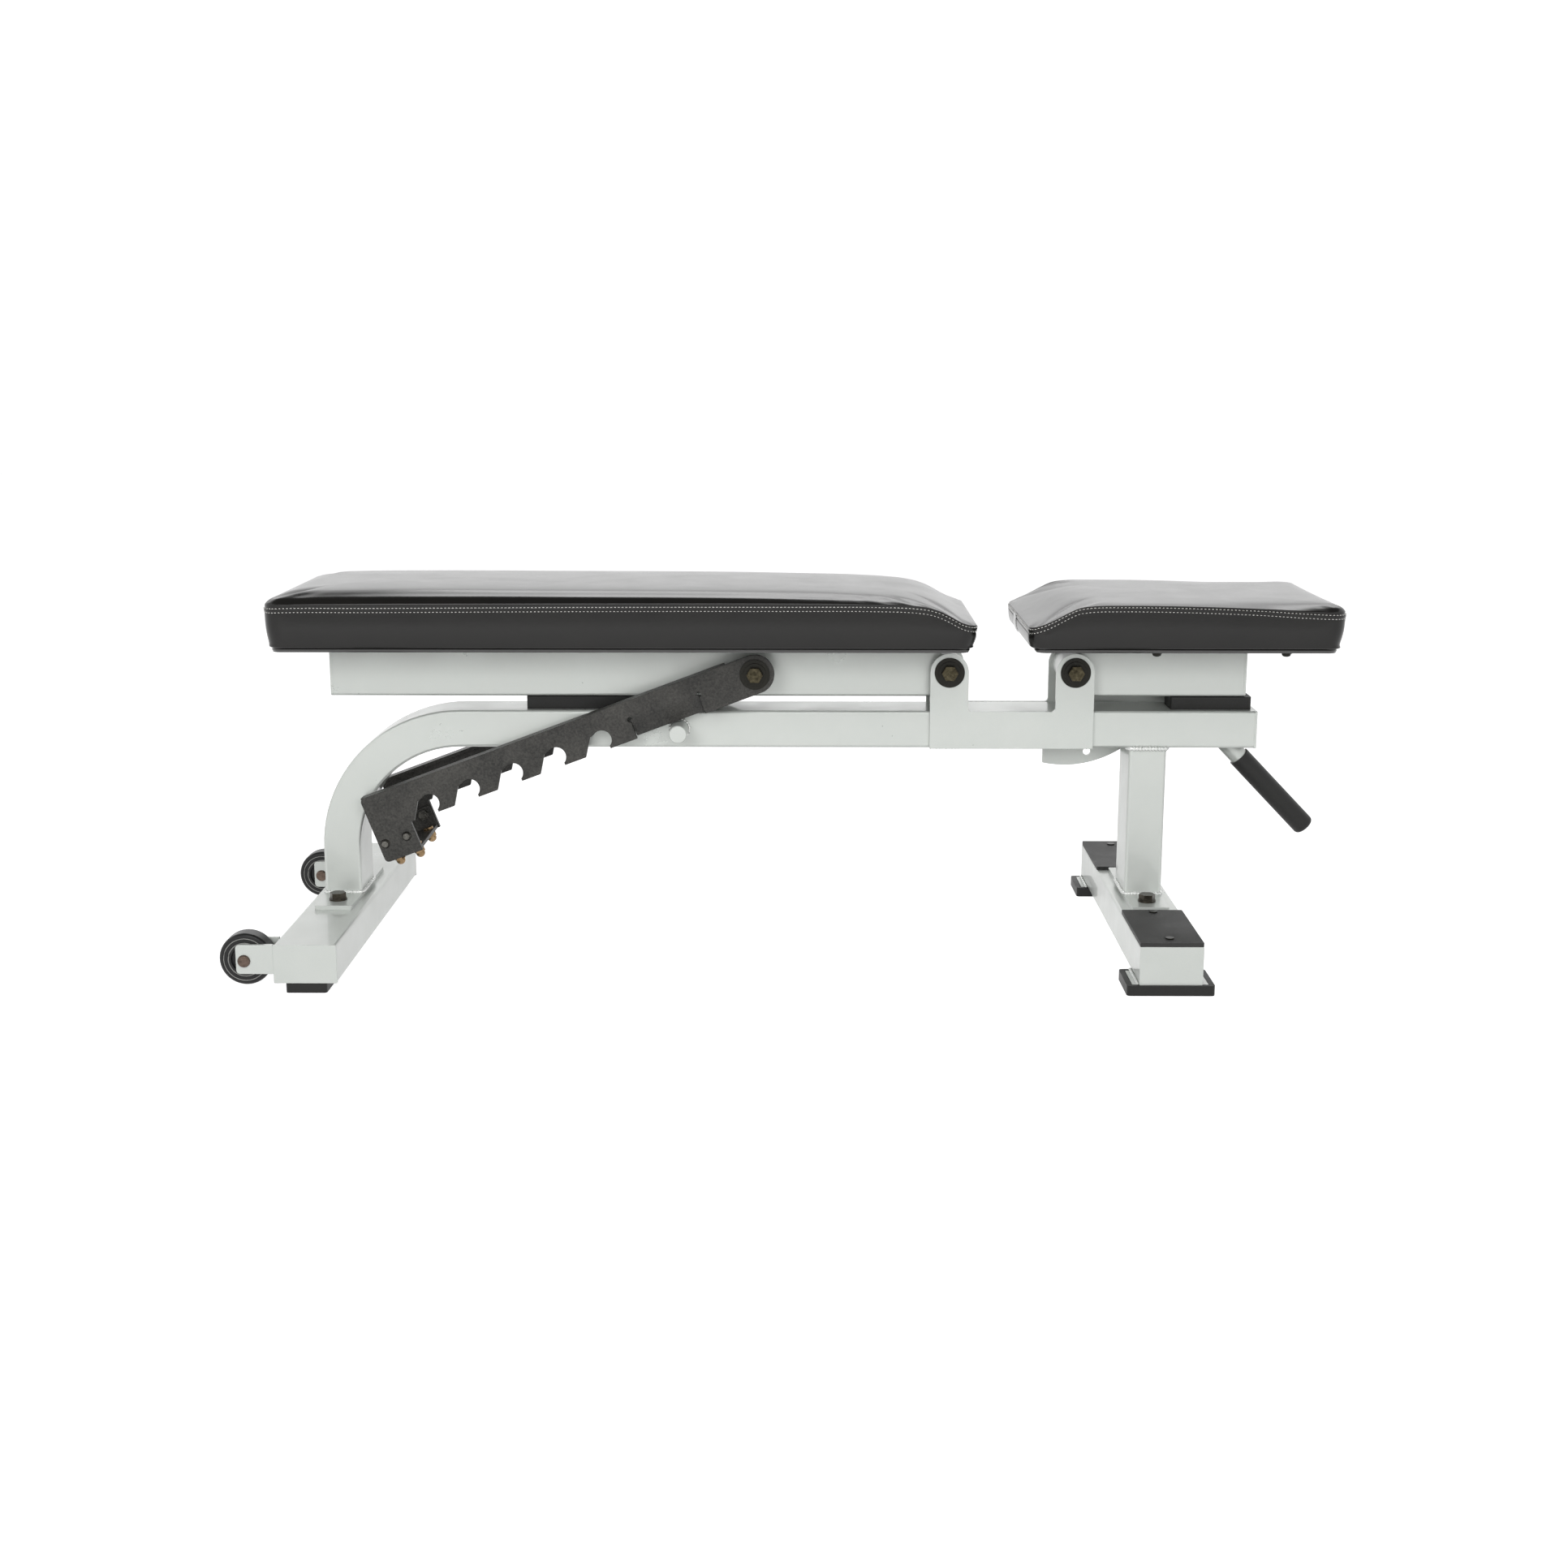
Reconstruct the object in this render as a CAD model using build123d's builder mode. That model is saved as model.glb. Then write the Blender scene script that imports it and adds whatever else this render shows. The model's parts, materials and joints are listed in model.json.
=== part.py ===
from build123d import *
import math
import os

# Adjustable weight bench: tilting backrest held by a notched ladder, tilting seat held by a pull pin.
# +X runs from the head end to the seat end, +Y across the bench, +Z up.
# The origin is on the floor, under the middle of the whole bench.

# Floor stand
TUBE_WIDE = 80
TUBE_NARROW = 50
TUBE_WALL = 3
TUBE_CORNER = 4
SHOE_HEIGHT = 13
FOOT_LENGTH = 542
REAR_X = -607.5
FRONT_X = 483.3
BASE_PLATE_LENGTH = 214
BASE_PLATE_THICKNESS = 6
BASE_BOLT_Y = 75
BEAM_MIDDLE_Z = 297
BEAM_END_X = 628
BEND_RADIUS = 166
END_PLATE = 3

# Hinges
HINGE_Z = 375
BACK_HINGE_X = 215
SEAT_HINGE_X = 382.5
EAR_RADIUS = 25.5
BRACKET_THICKNESS = 6
BOLT_RADIUS = 6
BOLT_HEAD = 7.5
BOLT_ACROSS_FLATS = 19
NUT_HEIGHT = 10
BUSH_RADIUS = 11
SLEEVE_RADIUS = 21
SLEEVE_LENGTH = 79.4
WASHER_RADIUS = 20
WASHER_STEP_RADIUS = 15
WASHER_RIM = 1.8
WASHER_THICKNESS = 3
RUNNING_GAP = 0.06

# Tilting frames and pads
FRAME_BOTTOM = 339.5
FRAME_HEIGHT = 76
FRAME_WIDE = 50
BACK_FRAME_START = -613
SEAT_FRAME_END = 611
BOARD_THICKNESS = 12
BOARD_SHOWN = 6
BOARD_INSET = 8
PAD_WIDTH = 300
PAD_CORNER = 22
BACK_PAD = (-672, 241)
SEAT_PAD = (311, 712)
BACK_PAD_TOP = 486
SEAT_PAD_TOP = 476

# Ladder: its own axes run along it from the pivot (u) and square to it, upwards (v)
LADDER_PIVOT = (-44, 376)
LADDER_SLOPE = 20.5
LADDER_INNER_Y = 64
LADDER_THICKNESS = 6
LADDER_HALF_DEPTH = 26
LADDER_LENGTH = 556
TAB_START = 503
TAB_DEPTH = 67
NOTCH_RADIUS = 13
NOTCH_DROP = 11.5
NOTCHED_BACK_ANGLES = (24, 38.5, 52.5, 67.5, 83)
SUPPORT_PIN = (-145.6, 298)
SUPPORT_PIN_RADIUS = 12
SUPPORT_PIN_LENGTH = 172

# Seat lock
LOCK_RADIUS = 128.5
LOCK_ANGLE = 29
SEAT_TILT = 15
LOCK_PIN_RADIUS = 5
QUADRANT_RADIUS = 143.5
QUADRANT_BACK = 30
QUADRANT_INNER_Y = 47
QUADRANT_THICKNESS = 6

# Transport wheels
WHEEL_X = -684.2
WHEEL_Z = 42
WHEEL_RADIUS = 33.5
WHEEL_WIDTH = 28
HUB_RADIUS = 22
AXLE_RADIUS = 5
WHEEL_PLATE = 5
LEFT_BRACKET_START = 155

# Lifting handle
HANDLE_X = 596
HANDLE_ANGLE = 46
HANDLE_LENGTH = 163
HANDLE_RADIUS = 12.5
GRIP_RADIUS = 14.5

FOOT_TOP = SHOE_HEIGHT + TUBE_NARROW
PLATE_TOP = FOOT_TOP + BASE_PLATE_THICKNESS
BEAM_TOP = BEAM_MIDDLE_Z + TUBE_NARROW / 2
BEAM_BOTTOM = BEAM_MIDDLE_Z - TUBE_NARROW / 2
BEAM_SIDE = TUBE_WIDE / 2
EAR_OUTSIDE = BEAM_SIDE + BRACKET_THICKNESS
FRAME_TOP = FRAME_BOTTOM + FRAME_HEIGHT
CUSHION_BOTTOM = FRAME_TOP + BOARD_SHOWN
FOOT_END = FOOT_LENGTH / 2
LADDER_OUTER_Y = LADDER_INNER_Y + LADDER_THICKNESS


def side_plane(high_y):
    """Upright plane in X and Z: an extrusion from it runs towards -Y."""
    return Plane.XZ.offset(-high_y)


def facing(x, y, z, direction):
    """Plane at a point whose extrusions run along the given Y direction (1 or -1)."""
    return Plane(origin=(x, y, z), x_dir=(1, 0, 0), z_dir=(0, direction, 0))


def tube_section(across, along):
    """Hollow rounded rectangle, drawn in the open sketch."""
    RectangleRounded(across, along, TUBE_CORNER)
    inner = (across - 2 * TUBE_WALL, along - 2 * TUBE_WALL)
    RectangleRounded(*inner, TUBE_CORNER - TUBE_WALL, mode=Mode.SUBTRACT)


def end_plate_outline():
    """Plate that covers the end of an 80 x 50 tube, drawn in the open sketch."""
    RectangleRounded(TUBE_WIDE, TUBE_NARROW, 1.5)


def add_ring(planes, outer, inner, length):
    """Round washers or sleeves, one on each plane, in the open part."""
    with BuildSketch(*planes) as ring:
        Circle(outer)
        Circle(inner, mode=Mode.SUBTRACT)
    extrude(ring.sketch, amount=length)


def add_hex_bolt(planes, radius, shank, across_flats, head):
    """Hexagon heads standing out of the planes, with shanks behind them."""
    with BuildSketch(*planes) as hexagon:
        RegularPolygon(across_flats / 2, 6, major_radius=False)
    extrude(hexagon.sketch, amount=head)
    with BuildSketch(*planes) as section:
        Circle(radius)
    extrude(section.sketch, amount=-shank)


def add_hex_nut(planes, radius, across_flats, height):
    """Hexagon nuts standing out of the planes."""
    with BuildSketch(*planes) as hexagon:
        RegularPolygon(across_flats / 2, 6, major_radius=False)
        Circle(radius, mode=Mode.SUBTRACT)
    extrude(hexagon.sketch, amount=height)


# ---------------------------------------------------------------- floor stand

back_bumper_span = (-352, -156)
seat_bumper_span = (514, 622)
bumper_screws_x = [-322, -186, 536, 597]
bumper_screw_radius = 3

with BuildPart() as main_beam:
    with BuildLine(Plane.XZ):
        tube_end_x = BEAM_END_X - END_PLATE
        beam_corners = [(REAR_X, PLATE_TOP), (REAR_X, BEAM_MIDDLE_Z), (tube_end_x, BEAM_MIDDLE_Z)]
        FilletPolyline(*beam_corners, radius=BEND_RADIUS)
    with BuildSketch(Plane.XY.offset(PLATE_TOP)):
        with Locations((REAR_X, 0)):
            tube_section(TUBE_NARROW, TUBE_WIDE)
    sweep()
    with BuildSketch(side_plane(BEAM_SIDE)):
        with Locations(SUPPORT_PIN):
            Circle(SUPPORT_PIN_RADIUS)
    extrude(amount=TUBE_WIDE, mode=Mode.SUBTRACT)
    with BuildSketch(Plane.XY.offset(BEAM_TOP)):
        with Locations(*[(x, 0) for x in bumper_screws_x]):
            Circle(bumper_screw_radius + 0.2)
    extrude(amount=-10, mode=Mode.SUBTRACT)

with BuildPart() as support_pin:
    with BuildSketch(side_plane(SUPPORT_PIN_LENGTH / 2)):
        with Locations(SUPPORT_PIN):
            Circle(SUPPORT_PIN_RADIUS)
    extrude(amount=SUPPORT_PIN_LENGTH)
    chamfer(support_pin.edges().filter_by(GeomType.CIRCLE), 1.2)

with BuildPart() as front_post:
    with BuildSketch(Plane.XY.offset(PLATE_TOP)):
        with Locations((FRONT_X, 0)):
            tube_section(TUBE_NARROW, TUBE_WIDE)
    extrude(amount=BEAM_BOTTOM - PLATE_TOP)


def base_plate(center_x):
    with BuildPart() as plate:
        with BuildSketch(Plane.XY.offset(FOOT_TOP)):
            with Locations((center_x, 0)):
                RectangleRounded(TUBE_NARROW, BASE_PLATE_LENGTH, 3)
            with Locations((center_x, BASE_BOLT_Y), (center_x, -BASE_BOLT_Y)):
                Circle(6.2, mode=Mode.SUBTRACT)
        extrude(amount=BASE_PLATE_THICKNESS)
    return plate


rear_base_plate = base_plate(REAR_X)
front_base_plate = base_plate(FRONT_X)

shoe_length = 73
shoe_width = 111
shoe_end = FOOT_END + 3.5
shoe_center_y = shoe_end - shoe_length / 2
shoe_rim = 7
flange_thickness = 4
grip_plate_start = 115
grip_plate_thickness = 5
grip_screws_y = (126, 250)
grip_screw_radius = 2.5


def foot_tube(center_x, top_holes):
    with BuildPart() as tube:
        with BuildSketch(side_plane(FOOT_END - END_PLATE)):
            with Locations((center_x, SHOE_HEIGHT + TUBE_NARROW / 2)):
                tube_section(TUBE_WIDE, TUBE_NARROW)
        extrude(amount=FOOT_LENGTH - 2 * END_PLATE)
        for hole_y, radius in top_holes:
            with BuildSketch(Plane.XY.offset(FOOT_TOP)):
                with Locations((center_x, hole_y), (center_x, -hole_y)):
                    Circle(radius)
            extrude(amount=-10, mode=Mode.SUBTRACT)
    return tube


base_bolt_holes = [(BASE_BOLT_Y, 6.2)]
grip_screw_holes = [(y, grip_screw_radius + 0.1) for y in grip_screws_y]
rear_foot_tube = foot_tube(REAR_X, base_bolt_holes)
front_foot_tube = foot_tube(FRONT_X, base_bolt_holes + grip_screw_holes)

with BuildPart() as shoe_flanges:
    with BuildSketch(Plane.XY.offset(SHOE_HEIGHT)):
        with Locations((FRONT_X, shoe_center_y), (FRONT_X, -shoe_center_y)):
            Rectangle(shoe_width - 2 * shoe_rim - 1, shoe_length - 2 * shoe_rim - 1)
    extrude(amount=-flange_thickness)

with BuildPart() as tube_end_plates:
    with BuildSketch(Plane.YZ.offset(BEAM_END_X)):
        with Locations((0, BEAM_MIDDLE_Z)):
            end_plate_outline()
    extrude(amount=-END_PLATE)
    for foot_x in (REAR_X, FRONT_X):
        for high_y in (FOOT_END, END_PLATE - FOOT_END):
            with BuildSketch(side_plane(high_y)):
                with Locations((foot_x, SHOE_HEIGHT + TUBE_NARROW / 2)):
                    end_plate_outline()
            extrude(amount=END_PLATE)

base_bolt_spots = [(x, y) for x in (REAR_X, FRONT_X) for y in (-BASE_BOLT_Y, BASE_BOLT_Y)]

with BuildPart() as base_bolts:
    add_hex_bolt([Plane((x, y, PLATE_TOP + 2)) for x, y in base_bolt_spots], 6, 22, 19, 8)
    add_ring([Plane((x, y, PLATE_TOP)) for x, y in base_bolt_spots], 12, 6, 2)

with BuildPart() as rear_rubber_feet:
    with BuildSketch(Plane.XY):
        with Locations((REAR_X, 235), (REAR_X, -235)):
            Rectangle(52, 70)
    extrude(amount=SHOE_HEIGHT)
    fillet(rear_rubber_feet.edges().filter_by(Axis.Z), 4)

with BuildPart() as front_rubber_shoes:
    with BuildSketch(Plane.XY):
        with Locations((FRONT_X, shoe_center_y), (FRONT_X, -shoe_center_y)):
            RectangleRounded(shoe_width, shoe_length, 5)
    extrude(amount=SHOE_HEIGHT)
    with BuildSketch(Plane.XY.offset(SHOE_HEIGHT)):
        with Locations((FRONT_X, shoe_center_y), (FRONT_X, -shoe_center_y)):
            Rectangle(shoe_width - 2 * shoe_rim, shoe_length - 2 * shoe_rim)
    extrude(amount=-flange_thickness, mode=Mode.SUBTRACT)

with BuildPart() as foot_grip_plates:
    grip_length = FOOT_END - grip_plate_start
    grip_middle = grip_plate_start + grip_length / 2
    with BuildSketch(Plane.XY.offset(FOOT_TOP)):
        with Locations((FRONT_X, grip_middle), (FRONT_X, -grip_middle)):
            RectangleRounded(TUBE_WIDE, grip_length, 2)
        with Locations(*[(FRONT_X, side * y) for side in (1, -1) for y in grip_screws_y]):
            Circle(grip_screw_radius + 0.1, mode=Mode.SUBTRACT)
    extrude(amount=grip_plate_thickness)

with BuildPart() as grip_plate_screws:
    grip_screw_spots = [(FRONT_X, side * y) for side in (1, -1) for y in grip_screws_y]
    grip_screw_planes = [Plane((x, y, FOOT_TOP + grip_plate_thickness)) for x, y in grip_screw_spots]
    with BuildSketch(*grip_screw_planes):
        Circle(5.5)
    extrude(amount=1.6)
    with BuildSketch(*grip_screw_planes):
        Circle(grip_screw_radius)
    extrude(amount=-12)

# ---------------------------------------------------------------- transport wheels

wheel_plate_end = -694.5
wheel_plate_bottom = 25
foot_left = REAR_X - BEAM_SIDE
bracket_width = 2 * WHEEL_PLATE + WHEEL_WIDTH + 2
bracket_starts = (-FOOT_END, LEFT_BRACKET_START)

with BuildPart() as wheel_brackets:
    for start_y in bracket_starts:
        for high_y in (start_y + WHEEL_PLATE, start_y + bracket_width):
            with BuildSketch(side_plane(high_y)) as outline:
                length = foot_left - wheel_plate_end
                with Locations((foot_left - length / 2, (wheel_plate_bottom + FOOT_TOP) / 2)):
                    Rectangle(length, FOOT_TOP - wheel_plate_bottom)
                fillet(outline.vertices().group_by(Axis.X)[0], 5)
                with Locations((WHEEL_X, WHEEL_Z)):
                    Circle(AXLE_RADIUS + 0.1, mode=Mode.SUBTRACT)
            extrude(amount=WHEEL_PLATE)

with BuildPart() as wheel_axle_bolts:
    for start_y in bracket_starts:
        head_plane = facing(WHEEL_X, start_y, WHEEL_Z, -1)
        with BuildSketch(head_plane):
            Circle(8)
        extrude(amount=3.5)
        fillet(wheel_axle_bolts.faces().filter_by_position(Axis.Y, start_y - 4, start_y - 3).edges(), 2.6)
        with BuildSketch(head_plane):
            Circle(AXLE_RADIUS)
        extrude(amount=-(bracket_width + 9))
    nut_planes = [facing(WHEEL_X, start_y + bracket_width, WHEEL_Z, 1) for start_y in bracket_starts]
    add_hex_nut(nut_planes, AXLE_RADIUS + 0.05, 16, 8)


def wheel_parts(start_y):
    low_y = start_y + WHEEL_PLATE + 1
    with BuildPart() as hub:
        add_ring([facing(WHEEL_X, low_y, WHEEL_Z, 1)], HUB_RADIUS, AXLE_RADIUS + RUNNING_GAP, WHEEL_WIDTH)
        for high_y in (low_y + WHEEL_WIDTH, low_y + 4):
            with BuildSketch(side_plane(high_y)):
                with Locations((WHEEL_X, WHEEL_Z)):
                    Circle(18)
                    Circle(10, mode=Mode.SUBTRACT)
            extrude(amount=4, mode=Mode.SUBTRACT)
    with BuildPart() as tyre:
        add_ring([facing(WHEEL_X, low_y, WHEEL_Z, 1)], WHEEL_RADIUS, HUB_RADIUS, WHEEL_WIDTH)
        fillet(tyre.edges().filter_by(GeomType.CIRCLE).group_by(SortBy.RADIUS)[-1], 5)
    return hub, tyre


right_wheel_hub, right_wheel_tyre = wheel_parts(bracket_starts[0])
left_wheel_hub, left_wheel_tyre = wheel_parts(bracket_starts[1])

# ---------------------------------------------------------------- handle and bumpers

handle_direction = (math.cos(math.radians(HANDLE_ANGLE)), 0, -math.sin(math.radians(HANDLE_ANGLE)))


def handle_plane(distance):
    """Plane square to the handle, at a distance along it from the underside of the beam."""
    spot = (HANDLE_X + distance * handle_direction[0], 0, BEAM_BOTTOM + distance * handle_direction[2])
    return Plane(origin=spot, x_dir=(0, 1, 0), z_dir=handle_direction)


grip_start = 26

with BuildPart() as lift_handle_tube:
    add_ring([handle_plane(-20)], HANDLE_RADIUS, HANDLE_RADIUS - 2, HANDLE_LENGTH + 12)
    split(bisect_by=Plane.XY.offset(BEAM_BOTTOM), keep=Keep.BOTTOM)

with BuildPart() as lift_handle_grip:
    with BuildSketch(handle_plane(grip_start)):
        Circle(GRIP_RADIUS)
    extrude(amount=HANDLE_LENGTH - grip_start)
    with BuildSketch(handle_plane(grip_start)):
        Circle(HANDLE_RADIUS)
    extrude(amount=HANDLE_LENGTH - 8 - grip_start, mode=Mode.SUBTRACT)
    fillet(lift_handle_grip.edges().filter_by(GeomType.CIRCLE).sort_by(Axis.Z)[0], 6)

bumper_width = 50
bumper_gap = 0.4
bumper_height = FRAME_BOTTOM - bumper_gap - BEAM_TOP


def bumper(span, screws_x):
    with BuildPart() as block:
        with BuildSketch(Plane.XY.offset(BEAM_TOP)):
            with Locations(((span[0] + span[1]) / 2, 0)):
                RectangleRounded(span[1] - span[0], bumper_width, 3)
        extrude(amount=bumper_height)
        with Locations(*[(x, 0, BEAM_TOP + bumper_height) for x in screws_x]):
            CounterBoreHole(bumper_screw_radius + 0.2, 6.5, 7)
    return block


back_bumper = bumper(back_bumper_span, bumper_screws_x[:2])
seat_bumper = bumper(seat_bumper_span, bumper_screws_x[2:])

with BuildPart() as bumper_screws:
    screw_planes = [Plane((x, 0, BEAM_TOP + bumper_height - 7)) for x in bumper_screws_x]
    add_hex_bolt(screw_planes, bumper_screw_radius, 18, 10, 4)

# ---------------------------------------------------------------- hinge brackets and bolts


def hinge_bracket(high_y):
    ear_centers = [(BACK_HINGE_X, HINGE_Z), (SEAT_HINGE_X, HINGE_Z)]
    low_x = BACK_HINGE_X - EAR_RADIUS
    high_x = SEAT_HINGE_X + EAR_RADIUS
    with BuildPart() as bracket:
        with BuildSketch(side_plane(high_y)) as outline:
            with Locations(((low_x + high_x) / 2, BEAM_MIDDLE_Z)):
                Rectangle(high_x - low_x, TUBE_NARROW)
            for ear_x, ear_z in ear_centers:
                with Locations((ear_x, (BEAM_TOP + ear_z) / 2)):
                    Rectangle(2 * EAR_RADIUS, ear_z - BEAM_TOP)
            corners = outline.vertices().filter_by_position(Axis.Y, BEAM_TOP - 1, BEAM_TOP + 1)
            fillet(corners.filter_by_position(Axis.X, low_x + 1, high_x - 1), 5)
            with Locations(*ear_centers):
                Circle(EAR_RADIUS)
            with Locations(*ear_centers):
                Circle(BOLT_RADIUS + 0.1, mode=Mode.SUBTRACT)
        extrude(amount=BRACKET_THICKNESS)
    return bracket


left_hinge_bracket = hinge_bracket(EAR_OUTSIDE)
right_hinge_bracket = hinge_bracket(-BEAM_SIDE)

hinge_spots = [(BACK_HINGE_X, HINGE_Z), (SEAT_HINGE_X, HINGE_Z)]
hinge_outside = EAR_OUTSIDE + WASHER_THICKNESS

with BuildPart() as hinge_bolts:
    head_planes = [facing(x, -hinge_outside, z, -1) for x, z in hinge_spots]
    add_hex_bolt(head_planes, BOLT_RADIUS, 2 * hinge_outside + 12, BOLT_ACROSS_FLATS, BOLT_HEAD)

with BuildPart() as hinge_washers:
    washer_planes = [facing(x, side * EAR_OUTSIDE, z, side) for x, z in hinge_spots for side in (1, -1)]
    add_ring(washer_planes, WASHER_RADIUS, BOLT_RADIUS + 0.2, WASHER_RIM)
    add_ring(washer_planes, WASHER_STEP_RADIUS, BOLT_RADIUS + 0.2, WASHER_THICKNESS)

with BuildPart() as hinge_nuts:
    nut_planes = [facing(x, hinge_outside, z, 1) for x, z in hinge_spots]
    add_hex_nut(nut_planes, BOLT_RADIUS + 0.05, BOLT_ACROSS_FLATS, NUT_HEIGHT)

# ---------------------------------------------------------------- backrest and seat


def pivot_sleeve(center_x, center_z, radius, length):
    with BuildPart() as sleeve:
        add_ring([facing(center_x, -length / 2, center_z, 1)], radius, BUSH_RADIUS, length)
    return sleeve


def pivot_bushes(center_x, center_z, length):
    with BuildPart() as bushes:
        ends = [facing(center_x, side * length / 2, center_z, -side) for side in (1, -1)]
        add_ring(ends, BUSH_RADIUS, BOLT_RADIUS + RUNNING_GAP, 22)
    return bushes


def tilting_frame(start_x, end_x, hinge_x, side_holes, pad_bolts_x):
    """Tube on edge, coped to the hinge sleeve, with bolt holes under the pad and access holes below them."""
    with BuildPart() as frame:
        with BuildSketch(Plane.YZ.offset(start_x)):
            with Locations((0, FRAME_BOTTOM + FRAME_HEIGHT / 2)):
                tube_section(FRAME_WIDE, FRAME_HEIGHT)
        extrude(amount=end_x - start_x)
        with BuildSketch(side_plane(FRAME_WIDE / 2)):
            with Locations((hinge_x, HINGE_Z)):
                Circle(SLEEVE_RADIUS)
            for spot, radius in side_holes:
                with Locations(spot):
                    Circle(radius)
        extrude(amount=FRAME_WIDE, mode=Mode.SUBTRACT)
        with BuildSketch(Plane.XY.offset(FRAME_TOP)):
            with Locations(*[(x, 0) for x in pad_bolts_x]):
                Circle(4.2)
        extrude(amount=-10, mode=Mode.SUBTRACT)
        with BuildSketch(Plane.XY.offset(FRAME_BOTTOM)):
            with Locations(*[(x, 0) for x in pad_bolts_x]):
                Circle(10)
        extrude(amount=10, mode=Mode.SUBTRACT)
    return frame


def frame_end_cap(face_x, direction):
    with BuildPart() as cap:
        with BuildSketch(Plane.YZ.offset(face_x)):
            with Locations((0, FRAME_BOTTOM + FRAME_HEIGHT / 2)):
                RectangleRounded(FRAME_WIDE, FRAME_HEIGHT, TUBE_CORNER)
        extrude(amount=3 * direction)
    return cap


def board_outline(span):
    """Outline of a pad's board, drawn in the open sketch."""
    length = span[1] - span[0] - 2 * BOARD_INSET
    with Locations(((span[0] + span[1]) / 2, 0)):
        RectangleRounded(length, PAD_WIDTH - 2 * BOARD_INSET, PAD_CORNER - BOARD_INSET)


def pad_board(span, pad_bolts_x):
    with BuildPart() as board:
        with BuildSketch(Plane.XY.offset(FRAME_TOP)):
            board_outline(span)
        extrude(amount=BOARD_THICKNESS)
        with BuildSketch(Plane.XY.offset(FRAME_TOP)):
            with Locations(*[(x, 0) for x in pad_bolts_x]):
                Circle(4.2)
        extrude(amount=BOARD_THICKNESS - 1, mode=Mode.SUBTRACT)
    return board


def cushion(outline_points, span):
    """Foam pad: side outline across the width, rounded upright corners, and a pocket for the board."""
    with BuildPart() as pad:
        with BuildSketch(side_plane(PAD_WIDTH / 2)):
            with BuildLine():
                Polyline(*outline_points, close=True)
            make_face()
        extrude(amount=PAD_WIDTH)
        fillet(pad.edges().filter_by(Axis.Z), PAD_CORNER)
        with BuildSketch(Plane.XY.offset(CUSHION_BOTTOM)):
            board_outline(span)
        extrude(amount=BOARD_THICKNESS - BOARD_SHOWN, mode=Mode.SUBTRACT)
    return pad


def pad_bolts(bolts_x):
    with BuildPart() as bolts:
        head_planes = [Plane((x, 0, FRAME_TOP - TUBE_WALL), z_dir=(0, 0, -1)) for x in bolts_x]
        add_hex_bolt(head_planes, 4, 13, 13, 5.5)
    return bolts


back_pad_bolts_x = (-540, -400, -120, 120)
seat_pad_bolts_x = (450, 495)
ladder_sleeve_radius = 16
ladder_sleeve_length = 2 * LADDER_INNER_Y - 0.6
coped_end = 10

back_frame_tube = tilting_frame(BACK_FRAME_START, BACK_HINGE_X - coped_end, BACK_HINGE_X,
                                [(LADDER_PIVOT, ladder_sleeve_radius)], back_pad_bolts_x)
back_frame_end_cap = frame_end_cap(BACK_FRAME_START, -1)
back_pivot_sleeve = pivot_sleeve(BACK_HINGE_X, HINGE_Z, SLEEVE_RADIUS, SLEEVE_LENGTH)
back_pivot_bushes = pivot_bushes(BACK_HINGE_X, HINGE_Z, SLEEVE_LENGTH)
ladder_pivot_sleeve = pivot_sleeve(*LADDER_PIVOT, ladder_sleeve_radius, ladder_sleeve_length)
ladder_pivot_bushes = pivot_bushes(*LADDER_PIVOT, ladder_sleeve_length)
back_pad_board = pad_board(BACK_PAD, back_pad_bolts_x)
back_pad_bolts = pad_bolts(back_pad_bolts_x)

seat_frame_tube = tilting_frame(SEAT_HINGE_X + coped_end, SEAT_FRAME_END, SEAT_HINGE_X, [], seat_pad_bolts_x)
seat_frame_end_cap = frame_end_cap(SEAT_FRAME_END, 1)
seat_pivot_sleeve = pivot_sleeve(SEAT_HINGE_X, HINGE_Z, SLEEVE_RADIUS, SLEEVE_LENGTH)
seat_pivot_bushes = pivot_bushes(SEAT_HINGE_X, HINGE_Z, SLEEVE_LENGTH)
seat_pad_board = pad_board(SEAT_PAD, seat_pad_bolts_x)
seat_pad_bolts = pad_bolts(seat_pad_bolts_x)

# Each pad is full height along its length and slopes down to a thin edge at its hinge end.
back_outline = [
    (BACK_PAD[0], CUSHION_BOTTOM), (BACK_PAD[1], CUSHION_BOTTOM), (BACK_PAD[1], 437),
    (209, 450), (170, 468), (124, BACK_PAD_TOP - 5), (60, BACK_PAD_TOP),
    (-606, BACK_PAD_TOP), (-654, BACK_PAD_TOP - 6), (BACK_PAD[0], BACK_PAD_TOP - 20),
]
back_pad_cushion = cushion(back_outline, BACK_PAD)

seat_outline = [
    (SEAT_PAD[0] + 3, CUSHION_BOTTOM), (SEAT_PAD[1], CUSHION_BOTTOM), (SEAT_PAD[1], SEAT_PAD_TOP - 20),
    (694, SEAT_PAD_TOP - 6), (640, SEAT_PAD_TOP), (400, SEAT_PAD_TOP),
    (370, SEAT_PAD_TOP - 5), (SEAT_PAD[0] + 4, 440), (SEAT_PAD[0], 433),
]
seat_pad_cushion = cushion(seat_outline, SEAT_PAD)

# ---------------------------------------------------------------- seat lock


def from_seat_hinge(radius, angle):
    """Point at a radius from the seat hinge; the angle opens from straight down towards +X."""
    turn = math.radians(angle)
    return (SEAT_HINGE_X + radius * math.sin(turn), HINGE_Z - radius * math.cos(turn))


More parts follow.
